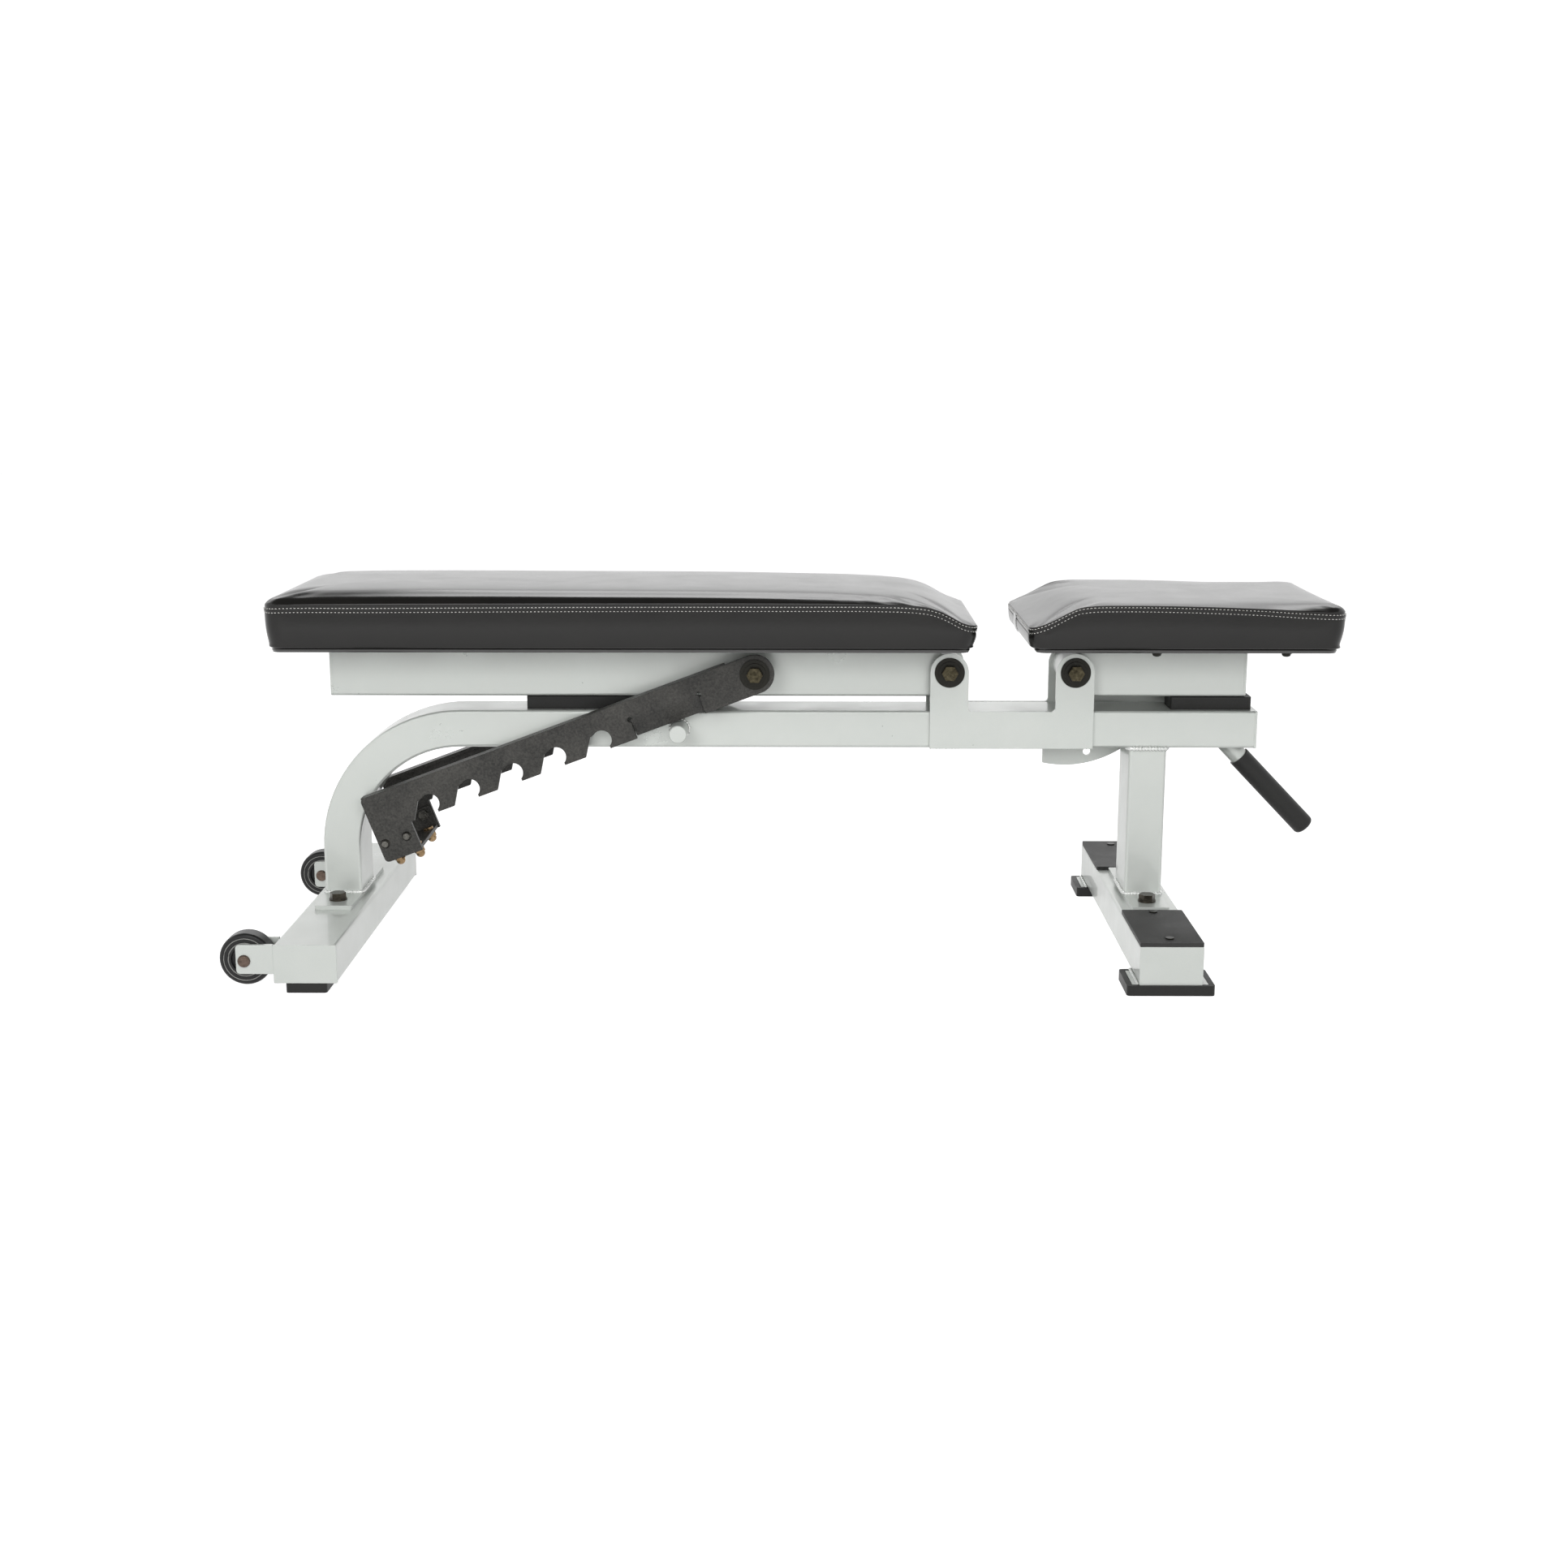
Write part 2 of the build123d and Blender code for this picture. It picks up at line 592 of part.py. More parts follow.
lock_x, lock_z = from_seat_hinge(LOCK_RADIUS, LOCK_ANGLE)
lock_hole_angles = (LOCK_ANGLE, LOCK_ANGLE - SEAT_TILT)
quadrant_left = SEAT_HINGE_X - QUADRANT_BACK
quadrant_start = -math.degrees(math.asin(QUADRANT_BACK / QUADRANT_RADIUS))
quadrant_end = 56
quadrant_outside = QUADRANT_INNER_Y + QUADRANT_THICKNESS

with BuildPart() as seat_quadrant_plate:
    with BuildSketch(side_plane(quadrant_outside)):
        with BuildLine():
            low_left = from_seat_hinge(QUADRANT_RADIUS, quadrant_start)
            low_middle = from_seat_hinge(QUADRANT_RADIUS, (quadrant_start + quadrant_end) / 2)
            low_right = from_seat_hinge(QUADRANT_RADIUS, quadrant_end)
            ThreePointArc(low_left, low_middle, low_right)
            Polyline(low_right, (SEAT_HINGE_X + 150, HINGE_Z - 48), (SEAT_HINGE_X + 150, HINGE_Z + 22),
                     (SEAT_HINGE_X + 37, HINGE_Z + 22), (SEAT_HINGE_X + 37, HINGE_Z - 60),
                     (quadrant_left, HINGE_Z - 98), low_left)
        make_face()
        with Locations(*[from_seat_hinge(LOCK_RADIUS, angle) for angle in lock_hole_angles]):
            Circle(LOCK_PIN_RADIUS + 0.4, mode=Mode.SUBTRACT)
    extrude(amount=QUADRANT_THICKNESS)
    with BuildSketch(side_plane(QUADRANT_INNER_Y)):
        with Locations((SEAT_HINGE_X + 63, HINGE_Z)):
            Rectangle(40, 30)
    extrude(amount=QUADRANT_INNER_Y - FRAME_WIDE / 2)

strap_inner_y = 56
strap_outer_y = 62
barrel_end_y = 92
barrel_radius = 10
spring_room = (66, 88)
spring_radius = 8

with BuildPart() as lock_pin_bracket:
    with BuildSketch(side_plane(strap_outer_y)):
        with Locations(((lock_x - 14 + 566) / 2, 273)):
            Rectangle(566 - lock_x + 14, 34)
        with Locations((lock_x, lock_z)):
            Circle(barrel_radius, mode=Mode.SUBTRACT)
    extrude(amount=strap_outer_y - strap_inner_y)
    with BuildSketch(side_plane(strap_inner_y)):
        with Locations((553, 281)):
            Rectangle(26, 16)
    extrude(amount=strap_inner_y - BEAM_SIDE)

with BuildPart() as lock_pin_housing:
    add_ring([facing(lock_x, strap_inner_y, lock_z, 1)], barrel_radius, LOCK_PIN_RADIUS + RUNNING_GAP,
             barrel_end_y - strap_inner_y)
    with BuildSketch(facing(lock_x, spring_room[0], lock_z, 1)):
        Circle(spring_radius)
    extrude(amount=spring_room[1] - spring_room[0], mode=Mode.SUBTRACT)

pin_tip_y = 55
collar_y = 78
knob_start = 103

with BuildPart() as lock_pin_plunger:
    with BuildSketch(facing(lock_x, pin_tip_y, lock_z, 1)):
        Circle(LOCK_PIN_RADIUS)
    extrude(amount=knob_start + 14 - pin_tip_y)
    chamfer(lock_pin_plunger.edges().sort_by(Axis.Y)[0], 1.5)
    add_ring([facing(lock_x, collar_y, lock_z, 1)], spring_radius - 0.4, LOCK_PIN_RADIUS, 3)

with BuildPart() as lock_pin_knob:
    with BuildSketch(facing(lock_x, knob_start, lock_z, 1)):
        Circle(14)
    extrude(amount=20)
    fillet(lock_pin_knob.edges().filter_by(GeomType.CIRCLE), 3)
    with BuildSketch(facing(lock_x, knob_start, lock_z, 1)):
        Circle(LOCK_PIN_RADIUS)
    extrude(amount=14, mode=Mode.SUBTRACT)

with BuildPart() as lock_pin_spring:
    wire_radius = 0.7
    with BuildLine() as coil:
        Helix(pitch=1.8, height=5, radius=6.5, center=(lock_x, collar_y + 4, lock_z), direction=(0, 1, 0))
    with BuildSketch(coil.line ^ 0):
        Circle(wire_radius)
    sweep(is_frenet=True)

# ---------------------------------------------------------------- ladder

slope = math.radians(LADDER_SLOPE)
along_ladder = (-math.cos(slope), 0, -math.sin(slope))


def ladder_plane(y):
    """Plane in the ladder's own axes: local x along it from the pivot, local y up, extrusions towards +Y."""
    return Plane(origin=(LADDER_PIVOT[0], y, LADDER_PIVOT[1]), x_dir=along_ladder, z_dir=(0, 1, 0))


def ladder_spot(u, v, y, normal):
    """Plane at a point in the ladder's own axes, with the given normal."""
    point = ladder_plane(y).from_local_coords(Vector(u, v, 0))
    return Plane(origin=point, x_dir=along_ladder, z_dir=normal)


def notch_distance(back_angle):
    """Distance from the ladder's pivot to the support pin when the backrest is lifted by an angle."""
    pivot_arm = math.dist((BACK_HINGE_X, HINGE_Z), LADDER_PIVOT)
    pin_arm = math.dist((BACK_HINGE_X, HINGE_Z), SUPPORT_PIN)
    pivot_angle = math.atan2(LADDER_PIVOT[1] - HINGE_Z, BACK_HINGE_X - LADDER_PIVOT[0])
    pin_angle = math.atan2(SUPPORT_PIN[1] - HINGE_Z, BACK_HINGE_X - SUPPORT_PIN[0])
    between = math.radians(back_angle) + pivot_angle - pin_angle
    return math.sqrt(pivot_arm ** 2 + pin_arm ** 2 - 2 * pivot_arm * pin_arm * math.cos(between))


flap_span = (80, 176)
flap_tilt = math.radians(20)
flap_depth = LADDER_HALF_DEPTH - 1
top_flange_width = 18
top_flange_thickness = 4
channel_thickness = 4
tab_bolts_u = (516, 547)
tab_bolt_v = -42
tab_bolt_radius = 4
tab_bolt_spots = [(u, tab_bolt_v) for u in tab_bolts_u]


def cut_notch(distance):
    """Hooked notch: a round seat for the pin, open below, with a slanted far side."""
    with Locations((distance, -NOTCH_DROP)):
        Circle(NOTCH_RADIUS, mode=Mode.SUBTRACT)
    below = -LADDER_HALF_DEPTH - 4
    with BuildLine() as mouth:
        Polyline((distance, NOTCH_RADIUS - NOTCH_DROP), (distance + 14, -3), (distance + 31, below),
                 (distance - 7, below), (distance - 7, -NOTCH_DROP), close=True)
    make_face(mouth.edges(), mode=Mode.SUBTRACT)


def ladder_plate(low_y, inward):
    """Notched side plate: folded top edge, guide flap bent inwards, and an end tab."""
    middle = LADDER_LENGTH / 2
    with BuildPart() as plate:
        with BuildSketch(ladder_plane(low_y)) as outline:
            Circle(LADDER_HALF_DEPTH)
            with Locations((middle, 0)):
                Rectangle(LADDER_LENGTH, 2 * LADDER_HALF_DEPTH)
            with Locations(((TAB_START + LADDER_LENGTH) / 2, (LADDER_HALF_DEPTH - TAB_DEPTH) / 2)):
                Rectangle(LADDER_LENGTH - TAB_START, LADDER_HALF_DEPTH + TAB_DEPTH)
            for angle in NOTCHED_BACK_ANGLES:
                cut_notch(notch_distance(angle))
            tab_corners = outline.vertices().group_by(Axis.X)[-1]
            fillet(tab_corners, 6)
            with Locations((sum(flap_span) / 2, -LADDER_HALF_DEPTH / 2 - 1)):
                Rectangle(flap_span[1] - flap_span[0] + 1, LADDER_HALF_DEPTH + 2, mode=Mode.SUBTRACT)
            with Locations((flap_span[0] - 1, 1), (flap_span[1] + 1, 1)):
                Circle(3.5, mode=Mode.SUBTRACT)
            Circle(BOLT_RADIUS + 0.1, mode=Mode.SUBTRACT)
            with Locations(*tab_bolt_spots):
                Circle(tab_bolt_radius + 0.1, mode=Mode.SUBTRACT)
        extrude(amount=LADDER_THICKNESS)
        inner_face = low_y + LADDER_THICKNESS if inward > 0 else low_y
        with BuildSketch(ladder_plane(inner_face)):
            with Locations(((34 + LADDER_LENGTH) / 2, LADDER_HALF_DEPTH - top_flange_thickness / 2)):
                Rectangle(LADDER_LENGTH - 34, top_flange_thickness)
        extrude(amount=inward * top_flange_width)
        bottom_shift = inward * flap_depth * math.sin(flap_tilt)
        bottom_v = -flap_depth * math.cos(flap_tilt)
        flap_section = [(0, 1), (LADDER_THICKNESS, 1), (LADDER_THICKNESS, 0),
                        (LADDER_THICKNESS + bottom_shift, bottom_v), (bottom_shift, bottom_v), (0, 0)]
        start = ladder_plane(low_y).from_local_coords(Vector(flap_span[0], 0, 0))
        with BuildSketch(Plane(origin=start, x_dir=(0, 1, 0), z_dir=along_ladder)):
            with BuildLine():
                Polyline(*[(y, -v) for y, v in flap_section], close=True)
            make_face()
        extrude(amount=flap_span[1] - flap_span[0])
    return plate


right_ladder_plate = ladder_plate(-LADDER_OUTER_Y, 1)
left_ladder_plate = ladder_plate(LADDER_INNER_Y, -1)

channel_bottom = 1 - TAB_DEPTH
channel_span = (TAB_START + 2, LADDER_LENGTH - 2)
channel_flange_top = -32
dome_bolt_spots = [(u, side * 44) for u in (514, 543) for side in (1, -1)]
down_ladder = (math.sin(slope), 0, -math.cos(slope))

with BuildPart() as ladder_cross_channel:
    with BuildSketch(ladder_plane(-LADDER_INNER_Y)):
        with Locations((sum(channel_span) / 2, (channel_bottom + channel_flange_top) / 2)):
            Rectangle(channel_span[1] - channel_span[0], channel_flange_top - channel_bottom)
        with Locations(*tab_bolt_spots):
            Circle(tab_bolt_radius + 0.1, mode=Mode.SUBTRACT)
    extrude(amount=2 * LADDER_INNER_Y)
    with BuildSketch(ladder_plane(channel_thickness - LADDER_INNER_Y)):
        with Locations((sum(channel_span) / 2, channel_bottom + channel_thickness + 25)):
            Rectangle(LADDER_LENGTH - TAB_START, 50)
    extrude(amount=2 * (LADDER_INNER_Y - channel_thickness), mode=Mode.SUBTRACT)
    with BuildSketch(*[ladder_spot(u, channel_bottom, y, down_ladder) for u, y in dome_bolt_spots]):
        Circle(4.1)
    extrude(amount=-channel_thickness, mode=Mode.SUBTRACT)

with BuildPart() as ladder_tab_bolts:
    for side in (1, -1):
        for u, v in tab_bolt_spots:
            with BuildSketch(ladder_spot(u, v, side * LADDER_OUTER_Y, (0, side, 0))):
                Circle(6.5)
            extrude(amount=4, taper=30)
            with BuildSketch(ladder_spot(u, v, side * LADDER_OUTER_Y, (0, side, 0))):
                Circle(tab_bolt_radius)
            extrude(amount=-(LADDER_THICKNESS + channel_thickness + 8))
        nut_y = side * (LADDER_INNER_Y - channel_thickness)
        nut_planes = [ladder_spot(u, v, nut_y, (0, -side, 0)) for u, v in tab_bolt_spots]
        add_hex_nut(nut_planes, tab_bolt_radius + 0.05, 13, 6.5)

with BuildPart() as ladder_dome_bolts:
    channel_inside = channel_bottom + channel_thickness
    dome_planes = [ladder_spot(u, channel_bottom, y, down_ladder) for u, y in dome_bolt_spots]
    head_planes = [ladder_spot(u, channel_inside, y, down_ladder) for u, y in dome_bolt_spots]
    with BuildSketch(*head_planes):
        Circle(7)
    extrude(amount=-3.5)
    with BuildSketch(*head_planes):
        Circle(4)
    extrude(amount=channel_thickness + 1)
    with BuildSketch(*dome_planes):
        RegularPolygon(6.5, 6, major_radius=False)
    extrude(amount=6.5)
    for plane in dome_planes:
        with Locations(plane.offset(8)):
            Sphere(6.2)

pivot_outside = LADDER_OUTER_Y + WASHER_THICKNESS

with BuildPart() as ladder_pivot_bolt:
    head_plane = facing(LADDER_PIVOT[0], -pivot_outside, LADDER_PIVOT[1], -1)
    add_hex_bolt([head_plane], BOLT_RADIUS, 2 * pivot_outside + 12, BOLT_ACROSS_FLATS, BOLT_HEAD)

with BuildPart() as ladder_pivot_washers:
    pivot_faces = [facing(LADDER_PIVOT[0], side * LADDER_OUTER_Y, LADDER_PIVOT[1], side) for side in (1, -1)]
    add_ring(pivot_faces, WASHER_RADIUS, BOLT_RADIUS + 0.2, WASHER_RIM)
    add_ring(pivot_faces, WASHER_STEP_RADIUS, BOLT_RADIUS + 0.2, WASHER_THICKNESS)

with BuildPart() as ladder_pivot_nut:
    nut_plane = facing(LADDER_PIVOT[0], pivot_outside, LADDER_PIVOT[1], 1)
    add_hex_nut([nut_plane], BOLT_RADIUS + 0.05, BOLT_ACROSS_FLATS, NUT_HEIGHT)

# ---------------------------------------------------------------- export

pieces = {
    "main_beam": main_beam,
    "support_pin": support_pin,
    "front_post": front_post,
    "rear_base_plate": rear_base_plate,
    "front_base_plate": front_base_plate,
    "rear_foot_tube": rear_foot_tube,
    "front_foot_tube": front_foot_tube,
    "shoe_flanges": shoe_flanges,
    "tube_end_plates": tube_end_plates,
    "base_bolts": base_bolts,
    "rear_rubber_feet": rear_rubber_feet,
    "front_rubber_shoes": front_rubber_shoes,
    "foot_grip_plates": foot_grip_plates,
    "grip_plate_screws": grip_plate_screws,
    "wheel_brackets": wheel_brackets,
    "wheel_axle_bolts": wheel_axle_bolts,
    "left_wheel_hub": left_wheel_hub,
    "left_wheel_tyre": left_wheel_tyre,
    "right_wheel_hub": right_wheel_hub,
    "right_wheel_tyre": right_wheel_tyre,
    "lift_handle_tube": lift_handle_tube,
    "lift_handle_grip": lift_handle_grip,
    "back_bumper": back_bumper,
    "seat_bumper": seat_bumper,
    "bumper_screws": bumper_screws,
    "left_hinge_bracket": left_hinge_bracket,
    "right_hinge_bracket": right_hinge_bracket,
    "hinge_bolts": hinge_bolts,
    "hinge_washers": hinge_washers,
    "hinge_nuts": hinge_nuts,
    "back_frame_tube": back_frame_tube,
    "back_frame_end_cap": back_frame_end_cap,
    "back_pivot_sleeve": back_pivot_sleeve,
    "back_pivot_bushes": back_pivot_bushes,
    "ladder_pivot_sleeve": ladder_pivot_sleeve,
    "ladder_pivot_bushes": ladder_pivot_bushes,
    "back_pad_board": back_pad_board,
    "back_pad_cushion": back_pad_cushion,
    "back_pad_bolts": back_pad_bolts,
    "seat_frame_tube": seat_frame_tube,
    "seat_frame_end_cap": seat_frame_end_cap,
    "seat_pivot_sleeve": seat_pivot_sleeve,
    "seat_pivot_bushes": seat_pivot_bushes,
    "seat_pad_board": seat_pad_board,
    "seat_pad_cushion": seat_pad_cushion,
    "seat_pad_bolts": seat_pad_bolts,
    "seat_quadrant_plate": seat_quadrant_plate,
    "lock_pin_bracket": lock_pin_bracket,
    "lock_pin_housing": lock_pin_housing,
    "lock_pin_spring": lock_pin_spring,
    "lock_pin_plunger": lock_pin_plunger,
    "lock_pin_knob": lock_pin_knob,
    "right_ladder_plate": right_ladder_plate,
    "left_ladder_plate": left_ladder_plate,
    "ladder_cross_channel": ladder_cross_channel,
    "ladder_tab_bolts": ladder_tab_bolts,
    "ladder_dome_bolts": ladder_dome_bolts,
    "ladder_pivot_bolt": ladder_pivot_bolt,
    "ladder_pivot_washers": ladder_pivot_washers,
    "ladder_pivot_nut": ladder_pivot_nut,
}

os.makedirs("parts", exist_ok=True)
for label, piece in pieces.items():
    piece.part.label = label
    export_step(piece.part, f"parts/{label}.step")
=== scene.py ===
import json
import math

import bpy
import numpy as np
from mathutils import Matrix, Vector


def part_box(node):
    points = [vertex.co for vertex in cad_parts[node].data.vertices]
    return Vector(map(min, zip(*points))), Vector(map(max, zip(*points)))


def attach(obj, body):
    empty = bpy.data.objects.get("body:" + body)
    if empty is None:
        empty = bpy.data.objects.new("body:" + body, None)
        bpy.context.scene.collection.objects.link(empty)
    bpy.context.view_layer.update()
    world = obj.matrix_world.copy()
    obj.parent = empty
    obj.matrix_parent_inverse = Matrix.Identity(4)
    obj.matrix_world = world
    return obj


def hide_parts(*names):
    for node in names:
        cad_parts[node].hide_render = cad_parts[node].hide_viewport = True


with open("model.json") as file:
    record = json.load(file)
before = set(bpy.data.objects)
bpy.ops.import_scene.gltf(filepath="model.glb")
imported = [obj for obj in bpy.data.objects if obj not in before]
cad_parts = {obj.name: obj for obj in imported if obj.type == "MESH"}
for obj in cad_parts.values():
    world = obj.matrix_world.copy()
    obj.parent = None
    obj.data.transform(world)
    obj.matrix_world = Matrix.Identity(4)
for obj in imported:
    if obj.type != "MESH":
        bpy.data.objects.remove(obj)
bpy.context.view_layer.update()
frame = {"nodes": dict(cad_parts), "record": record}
nodes = frame["nodes"]
scene = bpy.context.scene

# ------------------------------------------------------------------ materials


def link(tree, source, target):
    tree.links.new(source, target)


def make_node(tree, kind, **values):
    """Adds a shader node; a value goes to the input of that name, with spaces for underscores."""
    made = tree.nodes.new(kind)
    for name, value in values.items():
        made.inputs[name.replace("_", " ")].default_value = value
    return made


def material(name, color, roughness, metallic=0.0, coat=0.0, specular=0.5, second=None, grain=300.0,
             bump=0.0, bump_distance=0.0004, waves=None, edge=0.0, roughness_swing=0.08, detail=6.0,
             coat_roughness=0.12):
    """A noise-driven surface: two colours mixed by noise, uneven roughness, grain and broad waves.

    waves is (noise scale, height in metres), and edge is the radius that softens sharp edges.
    """
    made = bpy.data.materials.new(name)
    made.use_nodes = True
    tree = made.node_tree
    shader = tree.nodes["Principled BSDF"]
    shader.inputs["Metallic"].default_value = metallic
    shader.inputs["Specular IOR Level"].default_value = specular
    shader.inputs["Coat Weight"].default_value = coat
    shader.inputs["Coat Roughness"].default_value = coat_roughness
    place = tree.nodes.new("ShaderNodeTexCoord").outputs["Object"]

    mottle = make_node(tree, "ShaderNodeTexNoise", Scale=18.0, Detail=5.0, Roughness=0.6)
    link(tree, place, mottle.inputs["Vector"])
    fine = make_node(tree, "ShaderNodeTexNoise", Scale=grain, Detail=detail, Roughness=0.65)
    link(tree, place, fine.inputs["Vector"])

    both = tree.nodes.new("ShaderNodeMath")
    both.operation = "ADD"
    link(tree, mottle.outputs["Fac"], both.inputs[0])
    link(tree, fine.outputs["Fac"], both.inputs[1])
    ramp = tree.nodes.new("ShaderNodeValToRGB")
    ramp.color_ramp.elements[0].position = 0.35
    ramp.color_ramp.elements[1].position = 0.65
    ramp.color_ramp.elements[0].color = (*color, 1)
    ramp.color_ramp.elements[1].color = (*(second or [c * 1.12 for c in color]), 1)
    half = tree.nodes.new("ShaderNodeMath")
    half.operation = "MULTIPLY"
    half.inputs[1].default_value = 0.5
    link(tree, both.outputs[0], half.inputs[0])
    link(tree, half.outputs[0], ramp.inputs["Fac"])
    link(tree, ramp.outputs["Color"], shader.inputs["Base Color"])

    spread = tree.nodes.new("ShaderNodeMapRange")
    spread.inputs["From Min"].default_value = 0.3
    spread.inputs["From Max"].default_value = 0.7
    spread.inputs["To Min"].default_value = max(0.05, roughness - roughness_swing)
    spread.inputs["To Max"].default_value = min(1.0, roughness + roughness_swing)
    link(tree, mottle.outputs["Fac"], spread.inputs["Value"])
    link(tree, spread.outputs["Result"], shader.inputs["Roughness"])

    normal = None
    if edge:
        rounded = tree.nodes.new("ShaderNodeBevel")
        rounded.samples = 4
        rounded.inputs["Radius"].default_value = edge
        normal = rounded.outputs["Normal"]
    if waves:
        broad = make_node(tree, "ShaderNodeTexNoise", Scale=waves[0], Detail=2.0)
        link(tree, place, broad.inputs["Vector"])
        slow = tree.nodes.new("ShaderNodeBump")
        slow.inputs["Strength"].default_value = 1.0
        slow.inputs["Distance"].default_value = waves[1]
        link(tree, broad.outputs["Fac"], slow.inputs["Height"])
        if normal:
            link(tree, normal, slow.inputs["Normal"])
        normal = slow.outputs["Normal"]
    if bump:
        rough = tree.nodes.new("ShaderNodeBump")
        rough.inputs["Strength"].default_value = bump
        rough.inputs["Distance"].default_value = bump_distance
        link(tree, fine.outputs["Fac"], rough.inputs["Height"])
        if normal:
            link(tree, normal, rough.inputs["Normal"])
        normal = rough.outputs["Normal"]
    if normal:
        link(tree, normal, shader.inputs["Normal"])
    return made


def leather_grain(made, scale, distance):
    """Adds pebbled cells over a material's own grain."""
    tree = made.node_tree
    shader = tree.nodes["Principled BSDF"]
    before = shader.inputs["Normal"].links[0].from_socket if shader.inputs["Normal"].links else None
    place = tree.nodes.new("ShaderNodeTexCoord").outputs["Object"]
    cells = tree.nodes.new("ShaderNodeTexVoronoi")
    cells.feature = "DISTANCE_TO_EDGE"
    cells.inputs["Scale"].default_value = scale
    link(tree, place, cells.inputs["Vector"])
    creases = tree.nodes.new("ShaderNodeBump")
    creases.inputs["Strength"].default_value = 0.35
    creases.inputs["Distance"].default_value = distance
    link(tree, cells.outputs["Distance"], creases.inputs["Height"])
    if before:
        link(tree, before, creases.inputs["Normal"])
    link(tree, creases.outputs["Normal"], shader.inputs["Normal"])


frame_paint = material("frame_paint", (0.47, 0.495, 0.47), 0.34, metallic=0.35, coat=0.4, grain=1400,
                       second=(0.51, 0.53, 0.505), bump=0.1, bump_distance=0.0002, waves=(7, 0.0006),
                       edge=0.0009, detail=3.0, coat_roughness=0.05)
weld_paint = material("weld_paint", (0.56, 0.58, 0.56), 0.20, metallic=0.45, coat=0.6, grain=400,
                      second=(0.70, 0.71, 0.69), bump=0.6, bump_distance=0.0005)
ladder_paint = material("ladder_paint", (0.012, 0.012, 0.011), 0.42, grain=380, specular=0.3,
                        second=(0.060, 0.058, 0.053), bump=1.0, bump_distance=0.0011, waves=(30, 0.0005),
                        edge=0.0012, detail=2.5)
bronze_steel = material("bronze_steel", (0.006, 0.005, 0.003), 0.26, metallic=1.0, grain=210,
                        second=(0.110, 0.095, 0.060), bump=1.0, bump_distance=0.0014, edge=0.0012,
                        roughness_swing=0.14)
axle_steel = material("axle_steel", (0.045, 0.033, 0.027), 0.28, metallic=1.0, grain=230,
                      second=(0.17, 0.125, 0.10), bump=0.9, bump_distance=0.0011, edge=0.0010,
                      roughness_swing=0.12)
tab_bolt_steel = material("tab_bolt_steel", (0.035, 0.034, 0.030), 0.26, metallic=0.9, grain=260,
                          second=(0.17, 0.165, 0.15), bump=0.6, bump_distance=0.0008, edge=0.0008)
base_bolt_steel = material("base_bolt_steel", (0.020, 0.018, 0.014), 0.32, metallic=0.8, grain=260,
                           second=(0.07, 0.06, 0.045), bump=0.4, bump_distance=0.0005, edge=0.0012,
                           roughness_swing=0.12)
brass_nuts = material("brass_nuts", (0.15, 0.098, 0.052), 0.26, metallic=1.0, second=(0.36, 0.25, 0.14),
                      grain=300, bump=0.2, edge=0.0006, roughness_swing=0.12)
black_washer = material("black_washer", (0.007, 0.007, 0.005), 0.30, metallic=0.3, grain=400,
                        second=(0.018, 0.017, 0.013), bump=0.2, edge=0.0008, specular=0.2)
bright_steel = material("bright_steel", (0.62, 0.63, 0.62), 0.30, metallic=0.9, grain=500,
                        second=(0.74, 0.75, 0.74), bump=0.15, edge=0.0006, roughness_swing=0.1)
black_rubber = material("black_rubber", (0.006, 0.006, 0.006), 0.48, grain=700, specular=0.3,
                        second=(0.013, 0.013, 0.012), bump=0.35, bump_distance=0.0003,
                        waves=(25, 0.0004), edge=0.0012)
wheel_tyre = material("wheel_tyre", (0.005, 0.005, 0.005), 0.34, second=(0.012, 0.012, 0.012), grain=500,
                      bump=0.3, edge=0.001, specular=0.3)
black_plastic = material("black_plastic", (0.006, 0.006, 0.006), 0.38, grain=800, specular=0.3,
                         second=(0.013, 0.013, 0.013), bump=0.35, edge=0.0008)
grip_sheet = material("grip_sheet", (0.009, 0.009, 0.009), 0.55, grain=1100, specular=0.35,
                      second=(0.036, 0.036, 0.034), bump=1.0, bump_distance=0.0008, edge=0.0006,
                      detail=2.0)
nylon = material("nylon", (0.62, 0.61, 0.57), 0.5, grain=500, bump=0.1, edge=0.0004)
board_edge = material("board_edge", (0.008, 0.008, 0.008), 0.18, coat=0.5, grain=200,
                      second=(0.015, 0.015, 0.015), bump=0.1, waves=(20, 0.0004), edge=0.0015)
pad_vinyl = material("pad_vinyl", (0.0034, 0.0031, 0.0027), 0.21, grain=900, specular=0.34,
                     second=(0.0064, 0.0059, 0.0051), bump=0.12, bump_distance=0.0002,
                     waves=(6, 0.0004), roughness_swing=0.02)
leather_grain(pad_vinyl, 620, 0.00014)
trim_vinyl = material("trim_vinyl", (0.008, 0.0075, 0.007), 0.16, coat=0.6, grain=300,
                      second=(0.015, 0.014, 0.013), bump=0.15, waves=(40, 0.0005))
thread = material("thread", (0.42, 0.41, 0.39), 0.6, second=(0.66, 0.65, 0.62), grain=2500, bump=0.8)
# painted highlight: lighter grey metal for the thin rings on each wheel face that stand in for the
# highlight at the hub edge and tread
highlight_ring_paint = material("highlight_ring_paint", (0.20, 0.20, 0.19), 0.35, metallic=0.4, grain=500, bump=0.1)

